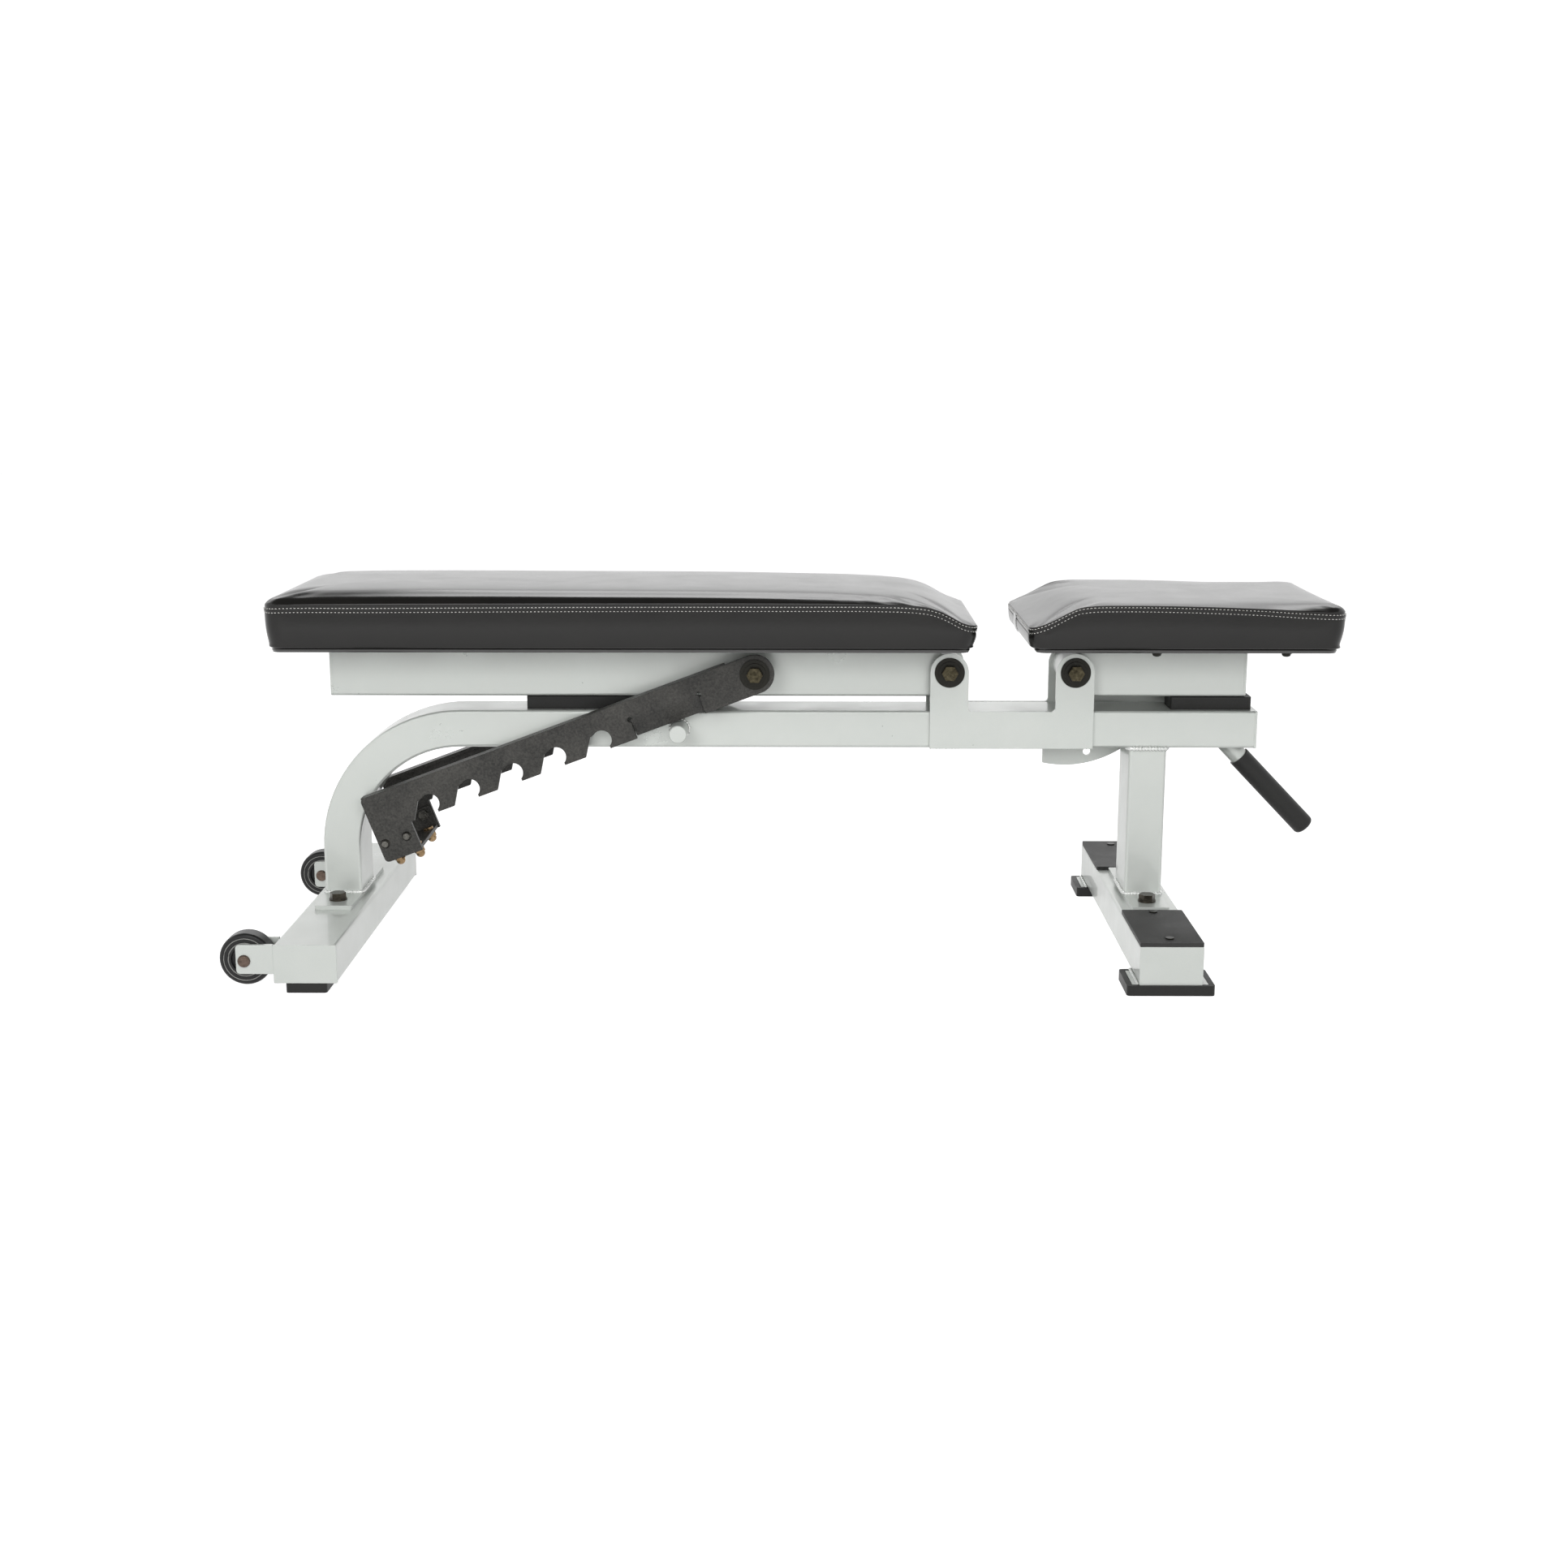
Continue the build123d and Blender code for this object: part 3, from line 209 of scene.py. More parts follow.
slot_materials = {
    "frame_paint": frame_paint, "ladder_paint": ladder_paint, "bronze_steel": bronze_steel,
    "brass_nuts": brass_nuts, "black_washer": black_washer, "bright_steel": bright_steel,
    "black_rubber": black_rubber, "wheel_tyre": wheel_tyre, "black_plastic": black_plastic,
    "nylon": nylon, "pad_vinyl": pad_vinyl, "pad_board": board_edge,
}
node_materials = {
    "foot_grip_plates": grip_sheet, "support_pin": frame_paint, "base_bolts": base_bolt_steel,
    "wheel_axle_bolts": axle_steel, "ladder_tab_bolts": tab_bolt_steel,
}
for entry in frame["record"]["subparts"]:
    chosen = slot_materials[entry["material_slot"]]
    chosen = node_materials.get(entry["node"], chosen)
    mesh = nodes[entry["node"]].data
    mesh.materials.clear()
    mesh.materials.append(chosen)

# ------------------------------------------------------------------ pads

STEP = 0.007  # about the distance between the points along a ring's straight sides
TURN_POINTS = 7  # points in each rounded corner of a ring
PAD_HALF_WIDTH = 0.150
MIN_CORNER = 0.0015
ROLL_WIDTH = 0.010  # a quarter-round roll beside the seam gives ROLL_SHARE of the crown's rise
ROLL_SHARE = 0.68
SPREAD_WIDTH = 0.035  # a slow rise towards the middle gives the rest
SPREAD_SHARE = 0.32
CLOTH_FRAMES = 20
CLOTH_PRESSURE = 4.0
CLOTH_TRAVEL = 0.0024  # the farthest that the simulation may move a point
STITCH_PITCH = 0.0048
STITCH_LENGTH = 0.0030
STITCH_RADIUS = 0.00046
STITCH_LIFT = 0.0003
STITCH_SIDES = 6
STITCH_RINGS = ((-0.5, 0.35), (-0.28, 0.95), (0.0, 1.1), (0.28, 0.95), (0.5, 0.35))


def curve_through(points):
    """Smooth height along X through (x, z) points in metres."""
    xs, zs = zip(*points)

    def height(x):
        x = min(max(x, xs[0]), xs[-1])
        k = max(0, min(len(xs) - 2, int(np.searchsorted(xs, x)) - 1))
        span = xs[k + 1] - xs[k]
        t = (x - xs[k]) / span

        def slope(j):
            if j <= 0 or j >= len(xs) - 1:
                return 0.0
            left = (zs[j] - zs[j - 1]) / (xs[j] - xs[j - 1])
            right = (zs[j + 1] - zs[j]) / (xs[j + 1] - xs[j])
            return 0.5 * (left + right)

        a, b = slope(k) * span, slope(k + 1) * span
        return ((2 * t ** 3 - 3 * t ** 2 + 1) * zs[k] + (t ** 3 - 2 * t ** 2 + t) * a
                + (3 * t ** 2 - 2 * t ** 3) * zs[k + 1] + (t ** 3 - t ** 2) * b)

    return height


def ring_points(x0, x1, half, corner, inset):
    """Rounded rectangle, anticlockwise from the middle of its +X end.

    Point k mirrors point -k across Y = 0.
    """
    a, b = (x1 - x0) / 2 - inset, half - inset
    r = max(corner - inset, MIN_CORNER)
    r = min(r, a, b)
    middle = (x0 + x1) / 2
    end_count = round(half / STEP)
    side_count = 2 * round((x1 - x0) / 2 / STEP)
    quarter = [(a, (b - r) * k / end_count) for k in range(end_count)]
    for k in range(TURN_POINTS):
        angle = math.pi / 2 * k / TURN_POINTS
        quarter.append((a - r + r * math.cos(angle), b - r + r * math.sin(angle)))
    side = [((a - r) * (1 - 2 * k / side_count), b) for k in range(side_count)]
    upper = quarter + side + [(-x, y) for x, y in reversed(quarter[1:] + [(a - r, b)])] + [(-a, 0.0)]
    lower = [(x, -y) for x, y in reversed(upper[1:-1])]
    return [(middle + x, y) for x, y in upper + lower]


def simulate(piece, pinned):
    """Inflates a closed mesh as cloth under pressure, then limits how far each point has moved."""
    start = np.array([v.co for v in piece.data.vertices])
    group = piece.vertex_groups.new(name="sewn")
    for weight, indices in pinned:
        group.add(indices, weight, "REPLACE")
    cloth = piece.modifiers.new("cloth", "CLOTH")
    settings = cloth.settings
    settings.quality = 6
    settings.mass = 0.4
    settings.tension_stiffness = 18
    settings.compression_stiffness = 14
    settings.shear_stiffness = 6
    settings.bending_stiffness = 1.2
    settings.vertex_group_mass = "sewn"
    settings.use_pressure = True
    settings.uniform_pressure_force = CLOTH_PRESSURE
    settings.effector_weights.gravity = 0
    cloth.collision_settings.use_collision = False
    cloth.collision_settings.use_self_collision = False
    scene.frame_start, scene.frame_end = 1, CLOTH_FRAMES
    for number in range(1, CLOTH_FRAMES + 1):
        scene.frame_set(number)
    shaped = piece.evaluated_get(bpy.context.evaluated_depsgraph_get())
    end = np.array([v.co for v in shaped.data.vertices])
    piece.modifiers.remove(cloth)
    scene.frame_set(1)
    move = end - start
    length = np.linalg.norm(move, axis=1, keepdims=True)
    soft = CLOTH_TRAVEL * np.tanh(length / CLOTH_TRAVEL) / np.maximum(length, 1e-9)
    piece.data.vertices.foreach_set("co", (start + move * soft).astype(np.float32).ravel())
    piece.data.update()


def add_mesh(name, points, faces, chosen, smooth=True):
    mesh = bpy.data.meshes.new(name)
    mesh.from_pydata([tuple(p) for p in points], [], faces)
    mesh.update()
    if smooth:
        mesh.polygons.foreach_set("use_smooth", [True] * len(mesh.polygons))
    piece = bpy.data.objects.new(name, mesh)
    scene.collection.objects.link(piece)
    mesh.materials.append(chosen)
    return piece


def wrap_rings(rings, capped=True):
    """Faces between rings of equal length; mirrored strips cap the first and last ring."""
    count = len(rings[0])
    points = [p for ring in rings for p in ring]
    faces = []
    for level in range(len(rings) - 1):
        low, high = level * count, (level + 1) * count
        for k in range(count):
            after = (k + 1) % count
            faces.append((low + k, low + after, high + after, high + k))
    if not capped:
        return points, faces
    for base, flip in ((0, True), ((len(rings) - 1) * count, False)):
        for k in range(count // 2):
            loop = [base + k, base + k + 1, base + count - k - 1, base + (count - k) % count]
            loop = list(dict.fromkeys(loop))
            faces.append(tuple(reversed(loop)) if flip else tuple(loop))
    return points, faces


def stitch_row(name, line, normals, body):
    """Short raised stitches along a closed line of points."""
    points, faces = [], []
    line = [Vector(p) for p in line]
    count = len(line)
    reach = [0.0]
    for k in range(count):
        reach.append(reach[-1] + (line[(k + 1) % count] - line[k]).length)
    total = int(reach[-1] / STITCH_PITCH)
    for s in range(total):
        at = (s + 0.5) * reach[-1] / total
        k = min(count - 1, int(np.searchsorted(reach, at)) - 1)
        t = (at - reach[k]) / max(reach[k + 1] - reach[k], 1e-9)
        a, b = line[k], line[(k + 1) % count]
        along = (b - a).normalized()
        out = (normals[k] * (1 - t) + normals[(k + 1) % count] * t).normalized()
        across = out.cross(along).normalized()
        middle = a.lerp(b, t) + out * STITCH_LIFT
        base = len(points)
        for u, scale in STITCH_RINGS:
            sink = -STITCH_RADIUS * 0.8 * abs(u) * 2
            for q in range(STITCH_SIDES):
                angle = math.pi * 2 * q / STITCH_SIDES
                rise = sink + STITCH_RADIUS * scale * math.sin(angle)
                reach_across = STITCH_RADIUS * scale * math.cos(angle)
                points.append(middle + along * (u * STITCH_LENGTH) + out * rise + across * reach_across)
        for ring in range(len(STITCH_RINGS) - 1):
            low = base + ring * STITCH_SIDES
            high = low + STITCH_SIDES
            for q in range(STITCH_SIDES):
                after = (q + 1) % STITCH_SIDES
                faces.append((low + q, low + after, high + after, high + q))
        last = base + (len(STITCH_RINGS) - 1) * STITCH_SIDES
        faces.append(tuple(base + q for q in reversed(range(STITCH_SIDES))))
        faces.append(tuple(last + q for q in range(STITCH_SIDES)))
    piece = add_mesh(name, points, faces, thread)
    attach(piece, body)


BEAD_SIDES = 8
BEAD_END_SHARE = 0.45  # an open bead's ends taper to this share of its size


def bead(name, line, radius, chosen, body, lumps=0.0, lump_pitch=0.004, closed=True):
    """Round bead along a line; lumps give it the ripples of a weld."""
    line = [Vector(p) for p in line]
    dense = []
    count = len(line)
    for k in range(count if closed else count - 1):
        a, b = line[k], line[(k + 1) % count]
        steps = max(1, round((b - a).length / (lump_pitch / 4))) if lumps else 1
        dense += [a.lerp(b, s / steps) for s in range(steps)]
    if not closed:
        dense.append(line[-1])
    points, faces = [], []
    count = len(dense)
    run = 0.0
    for k, p in enumerate(dense):
        before = dense[k - 1] if closed or k > 0 else p
        after = dense[(k + 1) % count] if closed or k < count - 1 else p
        along = (after - before).normalized()
        side = along.orthogonal() if abs(along.z) > 0.95 else along.cross(Vector((0, 0, 1)))
        side.normalize()
        up = side.cross(along).normalized()
        run += (p - before).length if k else 0.0
        waist = 1 + lumps * math.sin(2 * math.pi * run / lump_pitch) + 0.4 * lumps * math.sin(run * 911)
        size = radius * waist
        if not closed and k in (0, count - 1):
            size *= BEAD_END_SHARE
        for q in range(BEAD_SIDES):
            angle = 2 * math.pi * q / BEAD_SIDES
            points.append(p + (side * math.cos(angle) + up * math.sin(angle)) * size)
    rings = count if closed else count - 1
    for k in range(rings):
        low, high = k * BEAD_SIDES, ((k + 1) % count) * BEAD_SIDES
        for q in range(BEAD_SIDES):
            after = (q + 1) % BEAD_SIDES
            faces.append((low + q, low + after, high + after, high + q))
    if not closed:
        faces.append(tuple(reversed(range(BEAD_SIDES))))
        faces.append(tuple((count - 1) * BEAD_SIDES + q for q in range(BEAD_SIDES)))
    piece = add_mesh(name, points, faces, chosen)
    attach(piece, body)


STRIP_HALF_WIDTH = 0.018
STRIP_END_REACH = 0.006  # how far from the pad's end a point may be and still carry the strip
STRIP_EDGE_LIFT = 0.0002
STRIP_LIFT = 0.0014


def closing_strip(label, body, where, outward, count, levels, end_x, middle_y):
    """Folded strip of vinyl that covers the join on a pad's end, from the lower edge up to the seam."""
    top = levels[-1] * count
    columns = [k for k in range(count) if abs(where[top + k].x - end_x) < STRIP_END_REACH]
    columns = [k for k in columns if abs(where[top + k].y - middle_y) < STRIP_HALF_WIDTH]
    columns.sort(key=lambda k: where[top + k].y)
    points, faces = [], []
    for level in levels:
        for k in columns:
            spot = level * count + k
            lifted = STRIP_EDGE_LIFT if k in (columns[0], columns[-1]) else STRIP_LIFT
            points.append(where[spot] + outward[spot] * lifted)
    width = len(columns)
    for row in range(len(levels) - 1):
        for col in range(width - 1):
            a = row * width + col
            faces.append((a, a + width, a + width + 1, a + 1))
    strip = add_mesh(f"{label}_closing_strip", points, faces, trim_vinyl)
    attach(strip, body)


def make_pad(label, body, x0, x1, corner, seam, crown, board_node, cushion_node, strip_y, end_pulls):
    """Upholstered pad: boxed side, sewn top edge with two stitch rows, crowned top and trim lip.

    seam(x) is the height of the sewn edge and crown(x) the rise above it; end_pulls draw in the
    lower edge at the two ends, and strip_y is the middle of a closing strip, or None for no strip.
    """
    low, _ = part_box(cushion_node)
    bottom = low.z
    rings = []

    def side_ring(fraction=None, below_seam=None, out=0.0):
        ring = []
        for x, y in ring_points(x0, x1, PAD_HALF_WIDTH, corner, -out):
            top = seam(x)
            z = top - below_seam if below_seam is not None else bottom + (top - bottom) * fraction
            level = (z - bottom) / (top - bottom)
            toward = (x - x0) / (x1 - x0)
            x_in = x + (end_pulls[0] * (1 - toward) - end_pulls[1] * toward) * (1 - level) ** 2
            ring.append(Vector((x_in, y * (1 - 0.012 * (1 - level)), z)))
        return ring

    def top_ring(inset, lift=0.0):
        ring = []
        for x, y in ring_points(x0, x1, PAD_HALF_WIDTH, corner, inset):
            turn = min(max(inset, 0.0) / ROLL_WIDTH, 1.0)
            rolled = math.sqrt(1 - (1 - turn) ** 2)
            spread = 1 - math.exp(-max(inset, 0.0) / SPREAD_WIDTH)
            rise = crown(x) * (ROLL_SHARE * rolled + SPREAD_SHARE * spread) + lift
            ring.append(Vector((x, y, seam(x) + rise)))
        return ring

    def inner_ring(inset, lift):
        outline = ring_points(x0, x1, PAD_HALF_WIDTH, corner, inset)
        return [Vector((x, y, bottom + lift)) for x, y in outline]

    for inset, lift in ((0.060, 0.0015), (0.014, 0.0), (0.006, -0.0006), (0.0025, 0.0002)):
        rings.append(inner_ring(inset, lift))
    first_side = len(rings)
    rings.append(side_ring(fraction=0.06, out=-0.0006))
    for fraction, out in ((0.16, 0.0), (0.30, 0.0006), (0.45, 0.001), (0.60, 0.001), (0.74, 0.0008)):
        rings.append(side_ring(fraction=fraction, out=out))
    rings.append(side_ring(below_seam=0.0086, out=0.0009))
    lower_stitches = len(rings)
    rings.append(side_ring(below_seam=0.0066, out=0.0004))
    rings.append(side_ring(below_seam=0.0050, out=0.0013))
    rings.append(side_ring(below_seam=0.0028, out=0.0015))
    upper_stitches = len(rings)
    rings.append(side_ring(below_seam=0.0014, out=0.0009))
    seam_ring = len(rings)
    rings.append(side_ring(below_seam=0.0, out=-0.0006))
    rings.append(top_ring(-0.0004, 0.0012))
    last_held = len(rings)
    rings.append(top_ring(0.0003, 0.0010))
    for inset in (0.0012, 0.0026, 0.0045, 0.0070, 0.0100, 0.014, 0.019, 0.025, 0.032, 0.040, 0.051,
                  0.064, 0.079, 0.096, 0.114, 0.132, 0.146):
        rings.append(top_ring(inset))
    points, faces = wrap_rings(rings)
    pad = add_mesh(f"{label}_upholstery", points, faces, pad_vinyl)
    count = len(rings[0])
    sewn = list(range(first_side * count))
    held = list(range(seam_ring * count, (seam_ring + 1) * count))
    near = list(range(lower_stitches * count, seam_ring * count))
    near += list(range((seam_ring + 1) * count, (last_held + 1) * count))
    simulate(pad, [(1.0, sewn), (0.97, held), (0.9, near)])
    mesh = pad.data
    mesh.update()
    outward = [Vector(v.normal) for v in mesh.vertices]
    where = [Vector(v.co) for v in mesh.vertices]

    def take(ring):
        span = range(ring * count, (ring + 1) * count)
        return [where[k] for k in span], [outward[k] for k in span]

    for name, ring in (("upper", upper_stitches), ("lower", lower_stitches)):
        line, normals = take(ring)
        stitch_row(f"{label}_{name}_stitches", line, normals, body)

    if strip_y is not None:
        closing_strip(label, body, where, outward, count, range(first_side - 1, seam_ring), x0, strip_y)

    smooth = pad.modifiers.new("smooth", "SUBSURF")
    smooth.levels = smooth.render_levels = 1
    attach(pad, body)
    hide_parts(cushion_node)

    board_low, board_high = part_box(board_node)
    lip_rings = []
    lip_low = board_low.z - 0.0002
    for out, z in ((-0.012, lip_low), (-0.002, lip_low), (0.0008, lip_low + 0.0008),
                   (0.0018, lip_low + 0.0024), (0.0016, lip_low + 0.0042), (0.0002, bottom - 0.0004),
                   (-0.004, bottom + 0.0004)):
        outline = ring_points(board_low.x, board_high.x, board_high.y, 0.016, -out)
        lip_rings.append([Vector((x, y, z)) for x, y in outline])
    lip_points, lip_faces = wrap_rings(lip_rings, capped=False)
    lip = add_mesh(f"{label}_trim_lip", lip_points, lip_faces, trim_vinyl)
    lip_smooth = lip.modifiers.new("smooth", "SUBSURF")
    lip_smooth.levels = lip_smooth.render_levels = 1
    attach(lip, body)


back_seam = curve_through([(-0.674, 0.4730), (-0.642, 0.4742), (-0.538, 0.4745), (-0.269, 0.4760),
                           (0.0, 0.4765), (0.113, 0.4763), (0.159, 0.4749), (0.182, 0.4720),
                           (0.196, 0.4675), (0.210, 0.4605), (0.224, 0.4532), (0.243, 0.4490)])
back_crown = curve_through([(-0.674, 0.0165), (-0.55, 0.0190), (-0.30, 0.0172), (0.05, 0.0128),
                            (0.16, 0.0078), (0.200, 0.0045), (0.243, 0.0016)])
seat_seam = curve_through([(0.309, 0.4465), (0.322, 0.4500), (0.340, 0.4580), (0.355, 0.4660),
                           (0.370, 0.4730), (0.386, 0.4755), (0.420, 0.4764), (0.515, 0.4752),
                           (0.610, 0.4715), (0.657, 0.4685), (0.714, 0.4665)])
seat_crown = curve_through([(0.309, 0.0002), (0.36, 0.0003), (0.45, 0.0005), (0.58, 0.0035),
                            (0.66, 0.0085), (0.690, 0.0110), (0.714, 0.0130)])

make_pad("back_pad", "backrest", -0.6720, 0.2425, 0.024, back_seam, back_crown, "back_pad_board",
         "back_pad_cushion", None, (0.003, 0.004))
make_pad("seat_pad", "seat", 0.3095, 0.7130, 0.022, seat_seam, seat_crown, "seat_pad_board",
         "seat_pad_cushion", 0.03, (0.001, 0.005))

# ------------------------------------------------------------------ welds and small trim


def weld(name, line, radius, body, closed=True):
    bead(name, line, radius, weld_paint, body, lumps=0.28, lump_pitch=0.0042,
         closed=closed)


def tube_loop(center_x, z, grow):
    """Loop round an upright 50 x 80 tube."""
    return [(x, y, z) for x, y in ring_points(center_x - 0.025, center_x + 0.025, 0.040, 0.006, -grow)]


def arc_points(center, radius, y, start, end, count):
    turns = [math.radians(start + (end - start) * k / count) for k in range(count + 1)]
    return [(center[0] + radius * math.cos(t), y, center[1] + radius * math.sin(t)) for t in turns]


def side_center(low, high):
    """Middle of a box as seen from the side: (x, z)."""
    return (low.x + high.x) / 2, (low.z + high.z) / 2


BEAM_WELD_Y = 0.0404  # just outside the 80 mm wide beam
FRAME_WELD_Y = 0.0252  # just outside the 50 mm wide pad frames
BRACKET_WELD_Y = 0.0392
SHOE_WELD_START, SHOE_WELD_LENGTH = 0.2055, 0.063
SHOE_WELD_OUT = 0.0412  # from the middle of the front foot to each shoe weld
PLATE_WELD_LENGTH = 0.034

post_low, post_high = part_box("front_post")
post_x = (post_low.x + post_high.x) / 2
beam_low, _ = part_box("main_beam")
upright_x = beam_low.x + 0.025
weld("post_top_weld", tube_loop(post_x, post_high.z - 0.0006, 0.0010), 0.0030, "stand")
weld("post_foot_weld", tube_loop(post_x, post_low.z + 0.0010, 0.0010), 0.0024, "stand")
weld("upright_foot_weld", tube_loop(upright_x, beam_low.z + 0.0010, 0.0010), 0.0024, "stand")
pin_center = side_center(*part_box("support_pin"))
back_hinge = side_center(*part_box("back_pivot_sleeve"))
seat_hinge = side_center(*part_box("seat_pivot_sleeve"))
ladder_hinge = side_center(*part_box("ladder_pivot_sleeve"))
_, shoe_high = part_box("front_rubber_shoes")
plate_low, plate_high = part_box("wheel_brackets")
for side, tag in ((-1, "right"), (1, "left")):
    frame_y = side * FRAME_WELD_Y
    pin_arc = arc_points(pin_center, 0.0130, side * BEAM_WELD_Y, 0, 340, 34)
    weld(f"{tag}_pin_weld", pin_arc, 0.0016, "stand")
    back_arc = arc_points(back_hinge, 0.0218, frame_y, 120, 240, 24)
    weld(f"{tag}_back_sleeve_weld", back_arc, 0.0018, "backrest", False)
    seat_arc = arc_points(seat_hinge, 0.0218, frame_y, -60, 60, 24)
    weld(f"{tag}_seat_sleeve_weld", seat_arc, 0.0018, "seat", False)
    ladder_arc = arc_points(ladder_hinge, 0.0166, frame_y, 0, 340, 34)
    weld(f"{tag}_ladder_sleeve_weld", ladder_arc, 0.0016, "backrest")
    for label, start, end in (("rear", 0.190, 0.232), ("front", 0.366, 0.408)):
        z = post_high.z + 0.0006
        line = [(start + (end - start) * k / 10, side * BRACKET_WELD_Y, z) for k in range(11)]
        weld(f"{tag}_{label}_bracket_weld", line, 0.0019, "stand", False)
    for label, x in (("inner", post_x - SHOE_WELD_OUT), ("outer", post_x + SHOE_WELD_OUT)):
        z = shoe_high.z + 0.0006
        line = [(x, side * (SHOE_WELD_START + SHOE_WELD_LENGTH * k / 12), z) for k in range(13)]
        weld(f"{tag}_{label}_shoe_weld", line, 0.0019, "stand", False)
    wheel_low, wheel_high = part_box(f"{tag}_wheel_tyre")
    wheel_center = side_center(wheel_low, wheel_high)
    for label, y, inward in (("near", wheel_low.y, 1), ("far", wheel_high.y, -1)):
        x = plate_high.x - 0.0006
        z = plate_low.z + 0.002
        line = [(x, y - inward * 0.0005, z + PLATE_WELD_LENGTH * k / 8) for k in range(9)]
        weld(f"{tag}_{label}_wheel_plate_weld", line, 0.0013, "stand", False)
        # thin lighter rings on each wheel face are painted highlights at the hub edge and the tread, not
        # real parts of the wheel
        for ring, radius, size in (("hub_highlight", 0.0214, 0.0008), ("tread_highlight", 0.0272, 0.0006)):
            highlight_arc = arc_points(wheel_center, radius, y + inward * 0.0001, 0, 350, 35)
            bead(f"{tag}_{label}_{ring}_ring", highlight_arc, size, highlight_ring_paint, f"{tag}_wheel")

HANDLE_X = 0.596
HANDLE_WELD_POINTS = 36
handle_line = []
for k in range(HANDLE_WELD_POINTS):
    angle = 2 * math.pi * k / HANDLE_WELD_POINTS
    spot = (HANDLE_X + 0.0188 * math.cos(angle), 0.0138 * math.sin(angle), post_high.z - 0.0008)
    handle_line.append(spot)
weld("handle_weld", handle_line, 0.0020, "stand")


def turned(name, center, profile, chosen, body):
    """Round piece on a vertical axis from (radius, height) pairs, closed at both ends."""
    sides = 24
    points, faces = [], []
    for radius, z in profile:
        for k in range(sides):
            angle = 2 * math.pi * k / sides
            points.append((center[0] + radius * math.cos(angle), center[1] + radius * math.sin(angle),
                           center[2] + z))
    for level in range(len(profile) - 1):
        low, high = level * sides, (level + 1) * sides
        for k in range(sides):
            after = (k + 1) % sides
            faces.append((low + k, low + after, high + after, high + k))
    faces.append(tuple(reversed(range(sides))))
    faces.append(tuple((len(profile) - 1) * sides + k for k in range(sides)))
    piece = add_mesh(name, points, faces, chosen)
    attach(piece, body)


SCREW_PROFILE = [(0.0008, 0.0), (0.0030, 0.0001), (0.0046, 0.0008), (0.0056, 0.0020), (0.0058, 0.0034),
                 (0.0056, 0.0040), (0.0072, 0.0042), (0.0074, 0.0056), (0.0070, 0.0058)]
SCREW_SPOTS = ((0.474, -0.132), (0.474, 0.132), (0.640, -0.132), (0.640, 0.132))
board_low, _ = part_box("seat_pad_board")
for number, (x, y) in enumerate(SCREW_SPOTS):
    center = (x, y, board_low.z - 0.0056)
    turned(f"seat_board_screw_{number}", center, SCREW_PROFILE, black_washer, "seat")

# ------------------------------------------------------------------ camera, light, floor

camera = bpy.data.objects.new("camera", bpy.data.cameras.new("camera"))
scene.collection.objects.link(camera)
camera.data.sensor_width = 36
camera.data.lens = 46.72
camera.location = (0.01594, -2.7261, 0.7962)
CAMERA_PITCH, CAMERA_YAW = 0.2106, -0.008
level_reach = math.cos(CAMERA_PITCH)
look = Vector((math.sin(CAMERA_YAW) * level_reach, math.cos(CAMERA_YAW) * level_reach,
               -math.sin(CAMERA_PITCH)))
camera.rotation_mode = "QUATERNION"
camera.rotation_quaternion = look.to_track_quat("-Z", "Y")
scene.camera = camera

world = bpy.data.worlds.new("studio")
scene.world = world
world.use_nodes = True
background = world.node_tree.nodes["Background"]
background.inputs["Color"].default_value = (1.0, 1.0, 1.0, 1)
background.inputs["Strength"].default_value = 0.22
scene.view_settings.view_transform = "Standard"


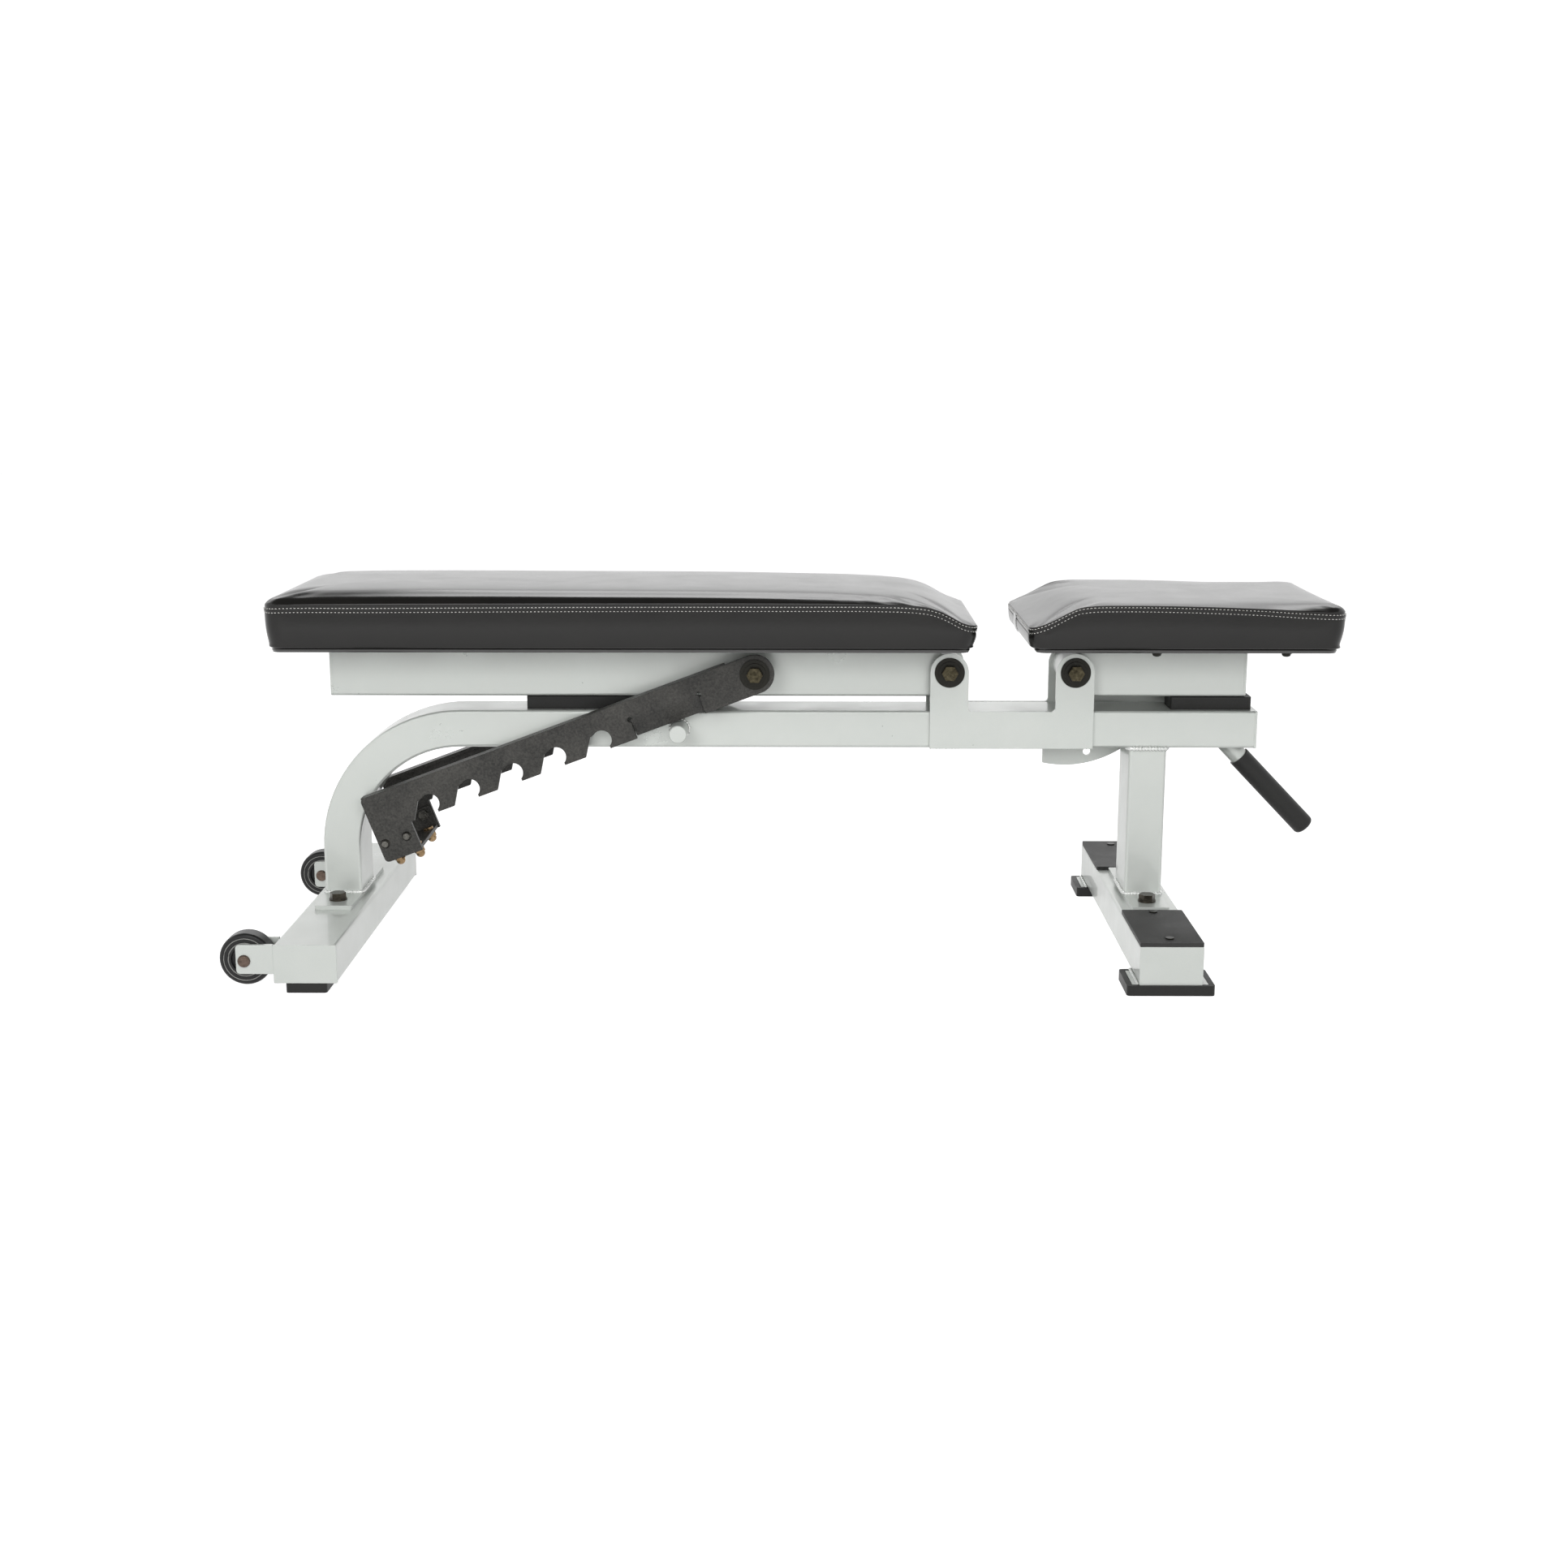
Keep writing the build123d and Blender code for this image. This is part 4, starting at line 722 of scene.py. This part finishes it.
def softbox(name, spot, target, size, power, mirrored=True):
    """Area light; one that is not mirrored leaves no bright patch in glossy surfaces."""
    lamp = bpy.data.lights.new(name, "AREA")
    lamp.shape = "RECTANGLE"
    lamp.size, lamp.size_y = size
    lamp.energy = power
    held = bpy.data.objects.new(name, lamp)
    scene.collection.objects.link(held)
    held.location = spot
    held.rotation_mode = "QUATERNION"
    held.rotation_quaternion = (Vector(target) - Vector(spot)).to_track_quat("-Z", "Y")
    held.visible_glossy = mirrored


softbox("back_high", (0.3, 2.6, 2.7), (0, 0, 0.3), (3.0, 1.2), 30)
softbox("front_high", (-0.3, -2.7, 2.9), (0, 0, 0.3), (2.6, 1.0), 42)
softbox("front_left", (-1.3, -3.2, 1.35), (-0.2, 0, 0.35), (1.4, 0.9), 62, mirrored=False)
softbox("front_right", (1.0, -3.2, 1.3), (0.2, 0, 0.35), (1.2, 0.9), 42, mirrored=False)


def add_glow(made, strength):
    """Lets the stage shine evenly, so that it stays pale wherever the camera stands."""
    shader = made.node_tree.nodes["Principled BSDF"]
    shader.inputs["Emission Color"].default_value = (1.0, 1.0, 1.0, 1)
    shader.inputs["Emission Strength"].default_value = strength


floor_paint = material("floor_paint", (0.50, 0.50, 0.50), 0.8, second=(0.51, 0.51, 0.51), grain=60,
                       roughness_swing=0.03, specular=0.1)
add_glow(floor_paint, 0.86)
wall_paint = material("wall_paint", (0.8, 0.8, 0.8), 0.9, second=(0.81, 0.81, 0.81), grain=60,
                      specular=0.0)
add_glow(wall_paint, 1.06)
STAGE_RADIUS = 12.0
STAGE_SIDES = 64
FLOOR_Z = -0.0004
turns = [2 * math.pi * k / STAGE_SIDES for k in range(STAGE_SIDES)]
around = [(STAGE_RADIUS * math.cos(turn), STAGE_RADIUS * math.sin(turn)) for turn in turns]
wall_points = [(x, y, z) for z in (FLOOR_Z, STAGE_RADIUS) for x, y in around]
wall_faces = []
for k in range(STAGE_SIDES):
    after = (k + 1) % STAGE_SIDES
    wall_faces.append((k, STAGE_SIDES + k, STAGE_SIDES + after, after))
floor_face = tuple(range(STAGE_SIDES))
floor = add_mesh("studio_floor", wall_points[:STAGE_SIDES], [floor_face], floor_paint, smooth=False)
wall = add_mesh("studio_wall", wall_points, wall_faces, wall_paint, smooth=False)
floor.visible_diffuse = False
wall.visible_diffuse = False
